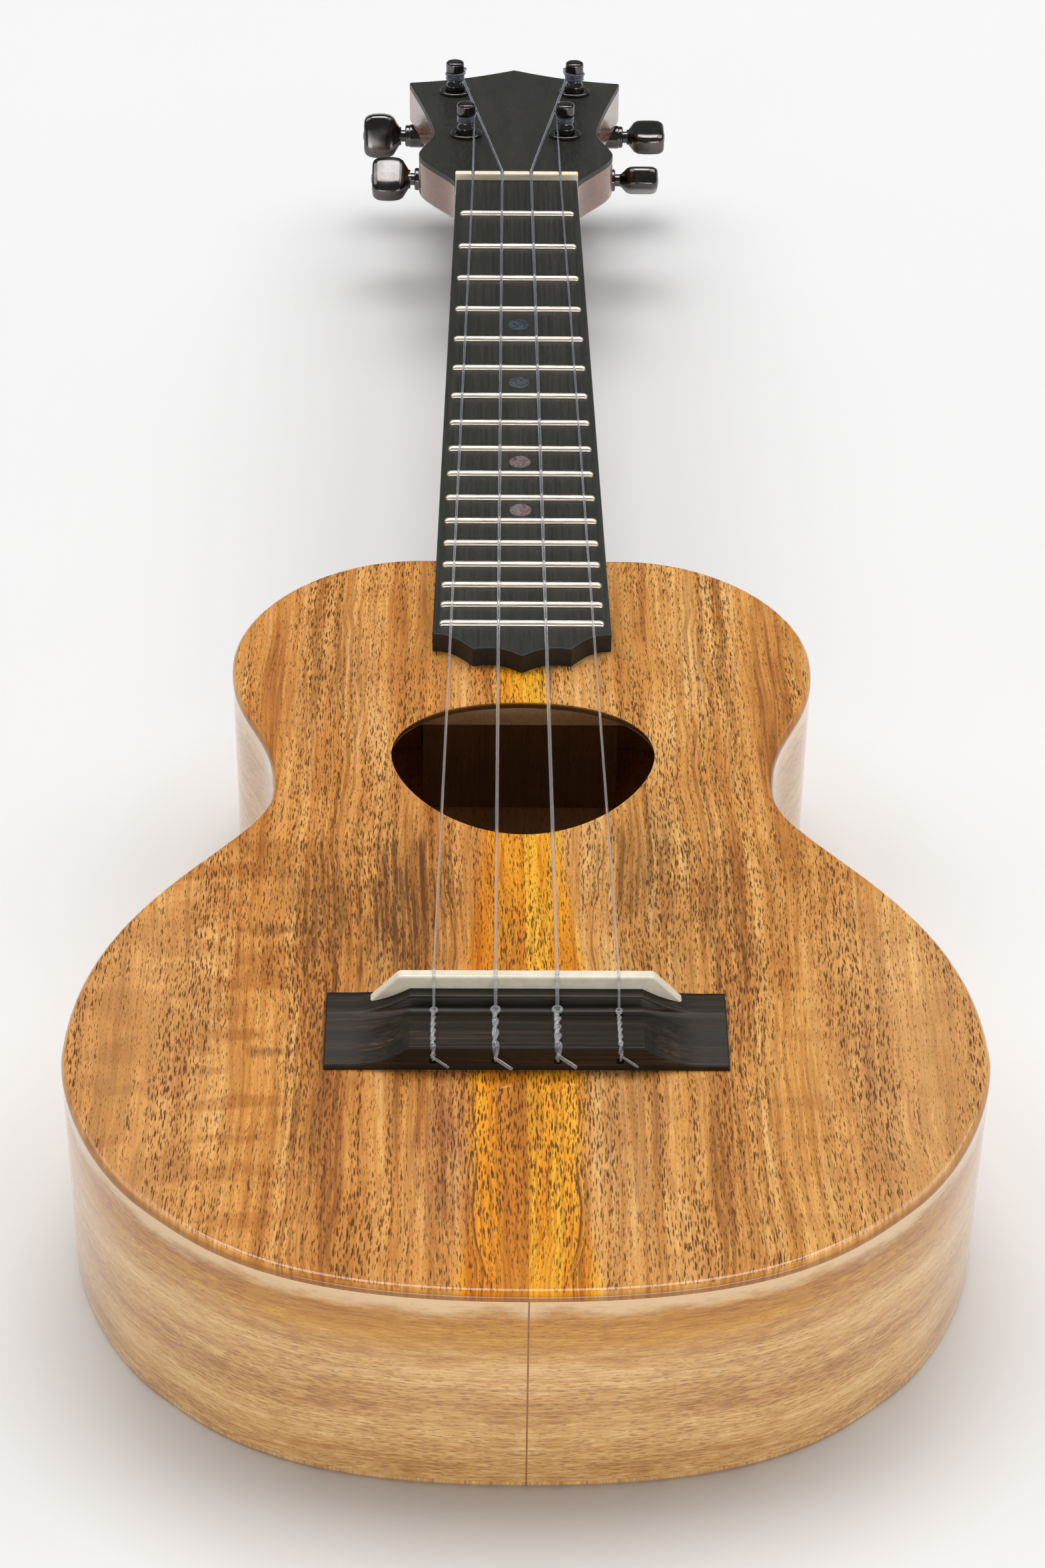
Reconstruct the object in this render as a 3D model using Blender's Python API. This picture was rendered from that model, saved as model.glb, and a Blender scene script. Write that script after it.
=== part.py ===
"""Concert ukulele: hollow wooden body, glued-on neck with a tilted headstock, four geared tuners.

Sizes are in millimetres and become metres in make_object(). X points to the treble side, Y from the
body towards the headstock, Z up from the flat back, which rests on Z = 0.
"""
import math

import bmesh
import bpy
from mathutils import Matrix, Vector

MM = 0.001
GAP = 0.3  # clearance kept between two pieces that touch

# Scale and overall stack
SCALE_LENGTH = 381.0
NUT_TO_TAIL = 475.0
NUT_TO_BODY = 200.2
BODY_DEPTH = 61.5
PLATE = 2.2
SIDE = 2.0
FRETBOARD_THICK = 5.2
FRET_CROWN = 1.0
NUT_THICK = 4.5

# Headstock: its face is a plane tilted back about X
HEAD_TILT = math.radians(9.0)
HEAD_START = 2.0  # from the nut's front face to the plane's zero line
HEAD_DROP = 4.5  # from the fret tops to the plane's zero line
HEAD_TIP = 116.0
HEADPLATE_START = 3.5
PADDLE_START = -1.5
HEADPLATE = 2.0
HEAD_THICK = 14.0
HEAD_REACH = HEAD_START + HEAD_TIP * math.cos(HEAD_TILT)

# The origin is under the middle of the whole length
NUT_Y = (NUT_TO_TAIL - HEAD_REACH) / 2
TOP_Z = BODY_DEPTH
BOARD_Z = TOP_Z + GAP + FRETBOARD_THICK
FRET_TOP_Z = BOARD_Z + FRET_CROWN

# Body outline, right half: x, distance behind the nut, heading, handle before and after
NECK_FLAT = 27.2
CORNER_HEADING = math.radians(47.0)
OUTLINE_STEPS = 12  # straight pieces in each span of the body's outline
BODY_NODES = [
    (NECK_FLAT, NUT_TO_BODY, 0.0, 0.0, 26.0),
    (75.5, 247.0, math.pi / 2, 24.5, 26.0),
    (62.6, 301.0, math.pi / 2, 24.6, 22.0),
    (106.4, 398.0, math.pi / 2, 57.0, 13.0),
    (84.3, 447.5, math.pi / 2 + CORNER_HEADING, 19.6, 19.6),
    (0.0, NUT_TO_TAIL, math.pi, 54.0, 0.0),
]

# Soundhole: rounded triangle, broad end towards the neck
HOLE_NODES = [
    (0.0, 264.6, 0.0, 0.0, 24.0),
    (34.0, 287.0, math.pi / 2, 11.0, 13.0),
    (0.0, 320.0, math.pi, 19.0, 0.0),
]

# Linings, blocks and braces inside the body
LINING_WIDE = 5.0
LINING_TALL = 8.0
BLOCK_LONG = 32.0
NECK_BLOCK_HALF = 26.3
TAIL_BLOCK_HALF = 24.0
TAIL_BLOCK_THICK = 12.0
TOP_BRACE = (6.0, 8.0)  # wide, tall
FAN_BRACE = (5.0, 5.0)
BACK_BRACE = (7.0, 9.0)
UPPER_BRACE_AT = 258.0
LOWER_BRACE_AT = 326.5
BACK_BRACES_AT = (276.0, 392.0)
FAN_HEAD = (38.0, 331.0)
FAN_FOOT = (61.0, 438.0)
PATCH_HALF = 40.0
PATCH_SPAN = (378.0, 409.0)
PATCH_THICK = 2.0

# Neck and fretboard
NUT_HALF = 18.9
FRET_14_HALF = 22.85
NECK_SECTIONS = [  # distance behind the nut, depth below the fretboard, roundness of the back
    (-4.8, 12.8, 0.75),
    (12.0, 13.4, 0.75),
    (60.0, 14.2, 0.75),
    (120.0, 15.2, 0.75),
    (158.0, 16.2, 0.8),
    (172.0, 19.0, 0.9),
    (180.0, 25.0, 1.0),
    (185.5, 35.0, 1.1),
    (189.0, 46.0, 1.15),
    (191.0, 54.0, 1.2),
    (192.2, 57.5, 1.25),
    (NUT_TO_BODY - GAP, 57.5, 1.25),
]
BOARD_CORNER_AT = 242.9
BOARD_CUSP = (12.9, 249.6)
BOARD_TIP_AT = 252.6
SCALLOP_SAG = 1.9

# Frets
FRETS = 17
FRET_WIDE = 2.2
TANG = (0.6, 1.5)  # wide, deep
FRET_INSET = 1.7

# Headstock outline, right half: x, distance along the face, heading, handle before and after
HEAD_NODES = [
    (18.9, 3.0, math.radians(80), 0.0, 9.0),
    (31.2, 31.0, math.radians(88), 9.0, 4.5),
    (26.7, 49.5, math.radians(96), 6.0, 8.0),
    (35.6, 102.0, math.radians(78), 16.0, 0.0),
]

# Tuners: (x, distance along the face) of each post
NEAR_POST = (16.1, 48.5)
FAR_POST = (20.0, 91.3)
POST_R = 3.0
POST_TALL = 11.0
WAIST_R = 2.3
BUSH_R = 4.3
BUSH_BORE_R = POST_R + GAP
FLANGE_R = 5.2
FLANGE_TALL = 1.2
BUSH_DEEP = 9.0
TEETH = 14
WHEEL_R = 6.1
WHEEL_ROOT_R = 5.1
WHEEL_THICK = 3.6
WORM_OFFSET = 9.0
WORM_DEPTH = 18.3  # of the worm's axis and the wheel's middle, below the headstock's face
WORM_CORE_R = 2.6
WORM_CREST_R = 3.6
WORM_HALF = 4.0
WORM_LEAD = math.tau * (WORM_OFFSET - 3.4) / TEETH
SHAFT_R = 2.0
HOUSING_X = (-7.7, 10.0)
HOUSING_Y = (-7.9, 14.3)
HOUSING_TALL = 9.0
HOUSING_WALL = 1.2
COLLAR_R = 3.9
COLLAR_END = 17.0
BUTTON_X = (18.4, 31.0)
BUTTON_WIDE = 15.0
BUTTON_THICK = 8.0

# Bridge, saddle, nut and strings
BRIDGE_HALF = 46.3
BRIDGE_FRONT_AT = 380.6
BRIDGE_LONG = 24.0
BLOCK_HALF = 26.8
SCOOP = 14.0
BRIDGE_PROFILE = [  # distance back from the front edge, height at the middle, height at the wings
    (0.0, 3.2, 2.4),
    (1.3, 7.1, 2.5),
    (6.9, 7.1, 2.5),
    (7.7, 4.6, 2.4),
    (9.0, 4.2, 2.3),
    (11.0, 5.0, 2.2),
    (14.0, 5.9, 2.0),
    (18.5, 6.5, 1.7),
    (23.4, 6.8, 1.4),
    (24.0, 6.5, 1.2),
]
SADDLE_THICK = 2.7
SADDLE_AT = 383.3
SADDLE_TOP = 10.6  # above the soundboard
SADDLE_HALF = (29.4, 36.2)  # flat top, chamfered tips
SADDLE_SLOT_FLOOR = 1.4
STRING_R = (0.33, 0.42, 0.45, 0.30)
NUT_SPACING = 9.1
SADDLE_SPACING = 14.2
TIE_HOLE_R = 0.95
TIE_HOLE_BACK = 2.6
TIE_HOLE_FRONT = 5.4
NUT_TOP_Z = FRET_TOP_Z + 1.3
NUT_SLOT_Z = FRET_TOP_Z + 0.4

WOOD_TOP = ("figured_top", (0.42, 0.20, 0.07), 0.25, 0.0)
WOOD_PALE = ("pale_side", (0.62, 0.40, 0.20), 0.25, 0.0)
WOOD_INNER = ("inner_wood", (0.50, 0.33, 0.18), 0.6, 0.0)
WOOD_NECK = ("neck_wood", (0.27, 0.10, 0.05), 0.35, 0.0)
EBONY = ("ebony", (0.012, 0.012, 0.012), 0.4, 0.0)
NICKEL = ("nickel_silver", (0.78, 0.74, 0.66), 0.25, 1.0)
BONE = ("bone", (0.80, 0.74, 0.60), 0.35, 0.0)
DARK_CHROME = ("dark_chrome", (0.10, 0.09, 0.09), 0.2, 1.0)
CLEAR_STRING = ("clear_string", (0.70, 0.70, 0.72), 0.2, 0.0)


# ---------------------------------------------------------------- helpers


def clear_scene():
    for item in list(bpy.data.objects):
        bpy.data.objects.remove(item, do_unlink=True)


def material(spec):
    name, colour, roughness, metallic = spec
    found = bpy.data.materials.get(name)
    if found:
        return found
    made = bpy.data.materials.new(name)
    made.use_nodes = True
    shader = made.node_tree.nodes["Principled BSDF"]
    shader.inputs["Base Color"].default_value = (*colour, 1.0)
    shader.inputs["Roughness"].default_value = roughness
    shader.inputs["Metallic"].default_value = metallic
    return made


def make_object(name, bm, spec, origin=(0.0, 0.0, 0.0), frame=None):
    """Turn a bmesh in millimetres into an object whose origin is at `origin`, or on `frame`'s origin."""
    bmesh.ops.recalc_face_normals(bm, faces=bm.faces[:])
    if frame is None:
        bmesh.ops.translate(bm, vec=-Vector(origin), verts=bm.verts[:])
        frame = Matrix.Translation(Vector(origin))
    bmesh.ops.scale(bm, vec=(MM, MM, MM), verts=bm.verts[:])
    mesh = bpy.data.meshes.new(name)
    bm.to_mesh(mesh)
    bm.free()
    mesh.shade_smooth()
    mesh.set_sharp_from_angle(angle=math.radians(32))
    mesh.materials.append(material(spec))
    made = bpy.data.objects.new(name, mesh)
    bpy.context.collection.objects.link(made)
    place = frame.copy()
    place.translation = frame.translation * MM
    made.matrix_world = place
    return made


def boolean(target, tool_bm, operation, frame=None):
    """Cut a closed tool out of `target`, or join it on; the tool stays as a hidden guide object."""
    tool = make_object(f"{target.name}_tool_{len(target.modifiers)}", tool_bm, WOOD_INNER, frame=frame)
    tool.hide_render = True
    tool.display_type = "WIRE"
    change = target.modifiers.new(f"boolean_{len(target.modifiers)}", "BOOLEAN")
    change.operation = operation
    change.object = tool


def loft(sections, bm=None):
    """Skin a row of closed sections, each a list of the same number of points, and cap both ends."""
    bm = bm or bmesh.new()
    rings = [[bm.verts.new(p) for p in section] for section in sections]
    count = len(rings[0])
    for ring, after in zip(rings, rings[1:]):
        for i in range(count):
            j = (i + 1) % count
            bm.faces.new((ring[i], ring[j], after[j], after[i]))
    bm.faces.new(rings[0][::-1])
    bm.faces.new(rings[-1])
    return bm


def prism(points, low, high, bm=None):
    """A flat outline in X and Y, extruded from `low` to `high` in Z."""
    return loft([[(x, y, low) for x, y in points], [(x, y, high) for x, y in points]], bm)


def block(low, high, bm=None):
    (x0, y0, z0), (x1, y1, z1) = low, high
    return prism([(x0, y0), (x1, y0), (x1, y1), (x0, y1)], z0, z1, bm)


def circle(radius, sides, turn=0.0):
    return [
        (radius * math.cos(turn + math.tau * i / sides), radius * math.sin(turn + math.tau * i / sides))
        for i in range(sides)
    ]


def turned(profile, sides, bm=None):
    """A turned piece about Z, from (radius, height) pairs, lowest first."""
    return loft([[(x, y, z) for x, y in circle(r, sides)] for r, z in profile], bm)


def tube_ring(centre, forward, radius, sides):
    """A ring of points about `centre`, square to `forward`."""
    forward = Vector(forward).normalized()
    side = forward.cross(Vector((0, 0, 1)))
    side = side.normalized() if side.length > 0.01 else Vector((1, 0, 0))
    up = side.cross(forward)
    return [Vector(centre) + side * x + up * y for x, y in circle(radius, sides)]


def tube(path, radius, sides):
    """A round tube through the points of `path`."""
    rings = []
    for i, point in enumerate(path):
        before = Vector(path[max(i - 1, 0)])
        after = Vector(path[min(i + 1, len(path) - 1)])
        rings.append(tube_ring(point, after - before, radius, sides))
    return loft(rings)


def cylinder_between(start, end, radius, sides, bm=None):
    way = Vector(end) - Vector(start)
    return loft([tube_ring(start, way, radius, sides), tube_ring(end, way, radius, sides)], bm)


def bezier(nodes, steps):
    """Points and headings along Bezier spans through nodes of (x, y, heading, handle in, handle out)."""
    found = []
    for (x0, y0, a0, _, out), (x1, y1, a1, into, _) in zip(nodes, nodes[1:]):
        p0, p3 = Vector((x0, y0)), Vector((x1, y1))
        p1 = p0 + Vector((math.cos(a0), math.sin(a0))) * out
        p2 = p3 - Vector((math.cos(a1), math.sin(a1))) * into
        for i in range(steps):
            t = i / steps
            s = 1 - t
            point = p0 * s**3 + p1 * (3 * s * s * t) + p2 * (3 * s * t * t) + p3 * t**3
            slope = (p1 - p0) * (s * s) + (p2 - p1) * (2 * s * t) + (p3 - p2) * (t * t)
            found.append((point, slope.normalized()))
    x, y, heading, _, _ = nodes[-1]
    found.append((Vector((x, y)), Vector((math.cos(heading), math.sin(heading)))))
    return found


def behind_nut(distance):
    return NUT_Y - distance


def half_outline(inset, steps=OUTLINE_STEPS):
    """Right half of the body's plan from the neck end to the tail, moved inwards by `inset`."""
    points = [(0.0, behind_nut(NUT_TO_BODY + inset))]
    for point, slope in bezier(BODY_NODES, steps):
        inward = Vector((-slope.y, slope.x))
        place = point + inward * inset
        points.append((place.x, behind_nut(place.y)))
    return points


def mirrored(points, side):
    return [(side * p[0], *p[1:]) for p in points]


def closed_plan(half):
    """Whole outline from its right half, whose first and last points lie on the centre line."""
    return half + mirrored(half[1:-1], -1)[::-1]


def half_width_at(distance, inset):
    """Half the body's inner width, at a distance behind the nut."""
    y = behind_nut(distance)
    half = half_outline(inset)
    for (x0, y0), (x1, y1) in zip(half[1:], half[2:]):
        if y0 >= y >= y1 and y0 > y1:
            return x0 + (x1 - x0) * (y0 - y) / (y0 - y1)
    raise ValueError("no outline there")


def board_half(distance):
    """Half the fretboard's width, at a distance behind the nut."""
    return NUT_HALF + (FRET_14_HALF - NUT_HALF) * distance / fret_distance(14)


def fret_distance(number):
    return SCALE_LENGTH * (1 - 2 ** (-number / 12))


def head_frame(x, along, depth):
    """Frame on the headstock: X across, Y along the face towards the tip, Z out of the face."""
    turn = Matrix.Rotation(-HEAD_TILT, 4, "X")
    zero = Matrix.Translation((0, behind_nut(-HEAD_START), FRET_TOP_Z - HEAD_DROP))
    return zero @ turn @ Matrix.Translation((x, along, -depth))


# ---------------------------------------------------------------- body


def make_plates():
    plan = closed_plan(half_outline(0.0))
    top = make_object("soundboard", prism(plan, TOP_Z - PLATE, TOP_Z), WOOD_TOP)
    right = [(p.x, behind_nut(p.y)) for p, _ in bezier(HOLE_NODES, OUTLINE_STEPS)]
    boolean(top, prism(closed_plan(right), TOP_Z - PLATE - 2, TOP_Z + 2), "DIFFERENCE")
    make_object("back", prism(plan, 0.0, PLATE), WOOD_PALE)


def strip(side, inset, wide, low, high, keep):
    """A strip bent round one half of the body, `wide` thick, over the outline points `keep` accepts."""
    outer = half_outline(inset)
    inner = half_outline(inset + wide)
    sections = []
    for (ox, oy), (ix, iy) in zip(outer, inner):
        if keep(ox, oy):
            ring = [(ox, oy, low), (ix, iy, low), (ix, iy, high), (ox, oy, high)]
            sections.append(mirrored(ring, side))
    return loft(sections)


def make_sides():
    low, high = PLATE + GAP, TOP_Z - PLATE - GAP
    for name, side in (("side_left", -1), ("side_right", 1)):
        bm = strip(side, 0.0, SIDE, low, high, lambda x, y: True)
        for vert in bm.verts:
            if abs(vert.co.x) < GAP / 2:
                vert.co.x = side * GAP / 2
        make_object(name, bm, WOOD_PALE)


def make_linings():
    middle = behind_nut((NUT_TO_BODY + NUT_TO_TAIL) / 2)

    def clear_of_blocks(x, y):
        limit = NECK_BLOCK_HALF if y > middle else TAIL_BLOCK_HALF
        return x > limit + GAP

    low, high = PLATE + GAP, TOP_Z - PLATE - GAP
    for level, (z0, z1) in (("top", (high - LINING_TALL, high)), ("back", (low, low + LINING_TALL))):
        for hand, side in (("left", -1), ("right", 1)):
            bm = strip(side, SIDE + GAP, LINING_WIDE, z0, z1, clear_of_blocks)
            make_object(f"{level}_lining_{hand}", bm, WOOD_INNER)


def make_blocks():
    low, high = PLATE + GAP, TOP_Z - PLATE - GAP
    front = NUT_TO_BODY + SIDE + GAP
    corner = (-NECK_BLOCK_HALF, behind_nut(front + BLOCK_LONG), low)
    make_object("neck_block", block(corner, (NECK_BLOCK_HALF, behind_nut(front), high)), WOOD_INNER)
    inner_y = behind_nut(NUT_TO_TAIL - SIDE - TAIL_BLOCK_THICK)
    tail = [p for p in half_outline(SIDE + GAP, 24) if p[0] < TAIL_BLOCK_HALF and p[1] < inner_y]
    edge = [(tail[0][0], inner_y)] + tail
    make_object("tail_block", prism(edge + mirrored(edge[:-1], -1)[::-1], low, high), WOOD_INNER)


def bar(start, end, wide, low, high):
    """A straight bar from `start` to `end` in plan, `wide` across."""
    a, b = Vector(start), Vector(end)
    across = Vector((a.y - b.y, b.x - a.x)).normalized() * (wide / 2)
    return prism([tuple(a - across), tuple(a + across), tuple(b + across), tuple(b - across)], low, high)


def make_braces():
    ceiling = TOP_Z - PLATE - GAP
    floor = PLATE + GAP
    clear = SIDE + GAP + LINING_WIDE + 2 * GAP
    for name, at in (("upper_brace", UPPER_BRACE_AT), ("lower_brace", LOWER_BRACE_AT)):
        wide, tall = TOP_BRACE
        half = min(half_width_at(at - wide / 2, clear), half_width_at(at + wide / 2, clear))
        y = behind_nut(at)
        make_object(name, bar((-half, y), (half, y), wide, ceiling - tall, ceiling), WOOD_INNER)
    for name, side in (("fan_brace_left", -1), ("fan_brace_right", 1)):
        wide, tall = FAN_BRACE
        ends = [(side * x, behind_nut(at)) for x, at in (FAN_HEAD, FAN_FOOT)]
        make_object(name, bar(*ends, wide, ceiling - tall, ceiling), WOOD_INNER)
    for name, at in zip(("back_brace_upper", "back_brace_lower"), BACK_BRACES_AT):
        wide, tall = BACK_BRACE
        half = min(half_width_at(at - wide / 2, clear), half_width_at(at + wide / 2, clear))
        y = behind_nut(at)
        make_object(name, bar((-half, y), (half, y), wide, floor, floor + tall), WOOD_INNER)
    near, far = PATCH_SPAN
    low = (-PATCH_HALF, behind_nut(far), ceiling - PATCH_THICK)
    make_object("bridge_patch", block(low, (PATCH_HALF, behind_nut(near), ceiling)), WOOD_INNER)


# ---------------------------------------------------------------- neck


def neck_section(distance, depth, roundness):
    """Flat on top under the fretboard, a rounded belly below."""
    half = board_half(max(distance, 0.0))
    top = TOP_Z
    ring = []
    steps = 12
    for i in range(steps + 1):
        angle = math.pi * i / steps
        x = half * math.copysign(abs(math.cos(angle)) ** roundness, math.cos(angle))
        ring.append((x, behind_nut(distance), top - depth * math.sin(angle) ** 0.9))
    return ring


def head_plan(start):
    """Closed outline of the headstock on its face, from `start` along the face to the pointed tip."""
    right = [(p.x, p.y) for p, _ in bezier(HEAD_NODES, 6)]
    corner = right[-1]
    crown = []
    for i in range(1, 6):
        t = i / 6
        sag = 2.2 * math.sin(math.pi * t)
        crown.append((corner[0] * (1 - t), corner[1] + (HEAD_TIP - corner[1]) * t - sag))
    half = right + crown + [(0.0, HEAD_TIP)]
    half[0] = (half[0][0], start)
    return half + mirrored(half[:-1], -1)[::-1]


def posts():
    """Each tuner's name, its side and its post's place on the headstock."""
    for place, (x, along) in (("near", NEAR_POST), ("far", FAR_POST)):
        for hand, side in (("left", -1), ("right", 1)):
            yield f"{place}_{hand}", side, side * x, along


def make_neck():
    sections = [neck_section(*spec) for spec in NECK_SECTIONS]
    neck = make_object("neck", loft(sections), WOOD_NECK)
    paddle = prism(head_plan(PADDLE_START), -(HEAD_THICK - HEADPLATE - GAP), 0.0)
    boolean(neck, paddle, "UNION", head_frame(0, 0, HEADPLATE + GAP))
    veneer = prism(head_plan(HEADPLATE_START), -HEADPLATE, 0.0)
    plate = make_object("headplate", veneer, EBONY, frame=head_frame(0, 0, 0))
    bore = BUSH_R + GAP
    for _, _, x, along in posts():
        for target in (neck, plate):
            tool = turned([(bore, -HEAD_THICK - 2), (bore, 2.0)], 14)
            boolean(target, tool, "DIFFERENCE", head_frame(x, along, 0))


def scallop_end():
    """Points of the fretboard's scalloped end from the centre tip to the right corner."""
    corner = (board_half(BOARD_CORNER_AT), BOARD_CORNER_AT)
    points = []
    for a, b in (((0.0, BOARD_TIP_AT), BOARD_CUSP), (BOARD_CUSP, corner)):
        for i in range(6):
            t = i / 6
            sag = SCALLOP_SAG * math.sin(math.pi * t)
            points.append((a[0] + (b[0] - a[0]) * t, a[1] + (b[1] - a[1]) * t - sag))
    return points + [corner]


def make_fretboard():
    end = [(x, behind_nut(at)) for x, at in scallop_end()]
    half = end + [(board_half(GAP), behind_nut(GAP))]
    plan = half + mirrored(half[1:], -1)[::-1]
    board = make_object("fretboard", prism(plan, TOP_Z + GAP, BOARD_Z), EBONY)
    slots = bmesh.new()
    wide, deep = TANG
    for number in range(1, FRETS + 1):
        at = fret_distance(number)
        half = board_half(at) - FRET_INSET + GAP
        y = behind_nut(at)
        low = (-half, y - wide / 2 - GAP, BOARD_Z - deep - GAP)
        block(low, (half, y + wide / 2 + GAP, BOARD_Z + 1.0), slots)
    boolean(board, slots, "DIFFERENCE")


def make_frets():
    wide, deep = TANG
    seat = 0.1  # under the crown, above the board
    for number in range(1, FRETS + 1):
        at = fret_distance(number)
        half = board_half(at) - FRET_INSET
        profile = [(wide / 2, -deep), (wide / 2, seat)]
        for i in range(7):
            angle = math.pi * i / 6
            profile.append((FRET_WIDE / 2 * math.cos(angle), seat + (FRET_CROWN - seat) * math.sin(angle)))
        profile += [(-wide / 2, seat), (-wide / 2, -deep)]
        ends = [[(x, behind_nut(at) + y, BOARD_Z + z) for y, z in profile] for x in (-half, half)]
        make_object(f"fret_{number:02d}", loft(ends), NICKEL)


def make_nut():
    half = NUT_HALF + 0.3
    back = behind_nut(-NUT_THICK)
    front = behind_nut(0.0)
    sections = []
    low = TOP_Z + GAP
    for x in (-half, half):
        ring = [(x, front, low), (x, front, NUT_TOP_Z - 0.4), (x, front + 0.6, NUT_TOP_Z)]
        ring += [(x, front + 2.2, NUT_TOP_Z - 0.1), (x, back, NUT_TOP_Z - 1.6), (x, back, low)]
        sections.append(ring)
    nut = make_object("nut", loft(sections), BONE)
    cuts = bmesh.new()
    for i, radius in enumerate(STRING_R):
        x = NUT_SPACING * (i - 1.5)
        reach = radius + 0.25
        low = NUT_SLOT_Z - 0.25
        points = [(x - reach, low), (x + reach, low), (x + reach, NUT_TOP_Z + 1), (x - reach, NUT_TOP_Z + 1)]
        ends = []
        for y, drop in ((front - 1, 0.0), (back + 1, 1.3)):
            ends.append([(px, y, pz - drop) for px, pz in points])
        loft(ends, cuts)
    boolean(nut, cuts, "DIFFERENCE")


# ---------------------------------------------------------------- bridge, saddle, strings


def bridge_height(x, middle, wing):
    """Height of the bridge's top: a raised centre that scoops down to thin wings."""
    t = min(max((abs(x) - BLOCK_HALF) / SCOOP, 0.0), 1.0)
    return wing + (middle - wing) * (1 - t) ** 2


def make_bridge():
    base = TOP_Z + GAP
    across = [BLOCK_HALF + SCOOP * i / 6 for i in range(7)] + [BRIDGE_HALF]
    xs = [-x for x in across[::-1]] + [0.0] + across
    bm = bmesh.new()
    top, under = [], []
    for back, middle, wing in BRIDGE_PROFILE:
        y = behind_nut(BRIDGE_FRONT_AT + back)
        top.append([bm.verts.new((x, y, TOP_Z + bridge_height(x, middle, wing))) for x in xs])
        under.append([bm.verts.new((x, y, base)) for x in xs])
    rows, columns = len(top), len(xs)
    for r in range(rows - 1):
        for c in range(columns - 1):
            bm.faces.new((top[r][c], top[r][c + 1], top[r + 1][c + 1], top[r + 1][c]))
            bm.faces.new((under[r][c], under[r + 1][c], under[r + 1][c + 1], under[r][c + 1]))
        for c in (0, columns - 1):
            bm.faces.new((top[r][c], top[r + 1][c], under[r + 1][c], under[r][c]))
    for r in (0, rows - 1):
        for c in range(columns - 1):
            bm.faces.new((top[r][c], top[r][c + 1], under[r][c + 1], under[r][c]))
    bridge = make_object("bridge", bm, EBONY)
    slot = SADDLE_THICK / 2 + GAP
    low = (-SADDLE_HALF[1] - GAP, behind_nut(SADDLE_AT + slot), TOP_Z + SADDLE_SLOT_FLOOR)
    cuts = block(low, (SADDLE_HALF[1] + GAP, behind_nut(SADDLE_AT - slot), TOP_Z + 20))
    for i in range(4):
        x = SADDLE_SPACING * (i - 1.5)
        cylinder_between(tie_hole_point(x, 0.0), tie_hole_point(x, 1.0), TIE_HOLE_R, 8, cuts)
    boolean(bridge, cuts, "DIFFERENCE")


def tie_hole_point(x, t):
    """A point on a string hole's axis: t = 0 in the groove behind the saddle, t = 1 past the back face."""
    start = Vector((x, behind_nut(BRIDGE_FRONT_AT + 8.4), TOP_Z + TIE_HOLE_FRONT))
    end = Vector((x, behind_nut(BRIDGE_FRONT_AT + BRIDGE_LONG + 1.0), TOP_Z + TIE_HOLE_BACK))
    return start.lerp(end, t)


def make_saddle():
    flat, tip = SADDLE_HALF
    floor = TOP_Z + SADDLE_SLOT_FLOOR + GAP
    shoulder = TOP_Z + 2.9
    top = TOP_Z + SADDLE_TOP
    outline = [(-tip, floor), (tip, floor), (tip, shoulder), (flat, top), (-flat, top), (-tip, shoulder)]
    sections = []
    for offset, lower in ((-0.5, 0.5), (-0.15, 0.0), (0.15, 0.0), (0.5, 0.5)):
        y = behind_nut(SADDLE_AT - offset * SADDLE_THICK)
        sections.append([(x, y, z - (lower if z > floor else 0.0)) for x, z in outline])
    make_object("saddle", loft(sections), BONE)


def string_path(index):
    """A string from behind the bridge, over the saddle and the nut, to the inner side of its post."""
    x_saddle = SADDLE_SPACING * (index - 1.5)
    x_nut = NUT_SPACING * (index - 1.5)
    side = math.copysign(1, x_nut)
    radius = STRING_R[index]
    post_x, along = NEAR_POST if index in (0, 3) else FAR_POST
    saddle_z = TOP_Z + SADDLE_TOP + radius + 0.1
    nut_z = NUT_SLOT_Z + radius
    end_x = side * (post_x - POST_R - radius - 0.2)
    end = head_frame(end_x, along, -4.2).translation
    return [
        tie_hole_point(x_saddle, 1.1),
        tie_hole_point(x_saddle, 0.55),
        tie_hole_point(x_saddle, 0.12),
        Vector((x_saddle, behind_nut(BRIDGE_FRONT_AT + 8.6), TOP_Z + 6.6)),
        Vector((x_saddle, behind_nut(SADDLE_AT + 1.2), saddle_z)),
        Vector((x_saddle, behind_nut(SADDLE_AT - 1.2), saddle_z)),
        Vector((x_nut, behind_nut(0.2), nut_z)),
        Vector((x_nut, behind_nut(-2.2), nut_z)),
        Vector((x_nut, behind_nut(-NUT_THICK - 0.3), nut_z - 0.9)),
        end,
    ]


def make_strings():
    for index, note in enumerate("gcea"):
        make_object(f"string_{note}", tube(string_path(index), STRING_R[index], 8), CLEAR_STRING)


# ---------------------------------------------------------------- tuners


def gear_outline():
    points = []
    for tooth in range(TEETH):
        middle = math.pi / 2 + math.tau * (tooth + 0.5) / TEETH
        for turn, radius in ((-6.7, WHEEL_ROOT_R), (-3.3, WHEEL_R), (3.3, WHEEL_R), (6.7, WHEEL_ROOT_R)):
            angle = middle + math.radians(turn)
            points.append((radius * math.cos(angle), radius * math.sin(angle)))
    return points


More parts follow.
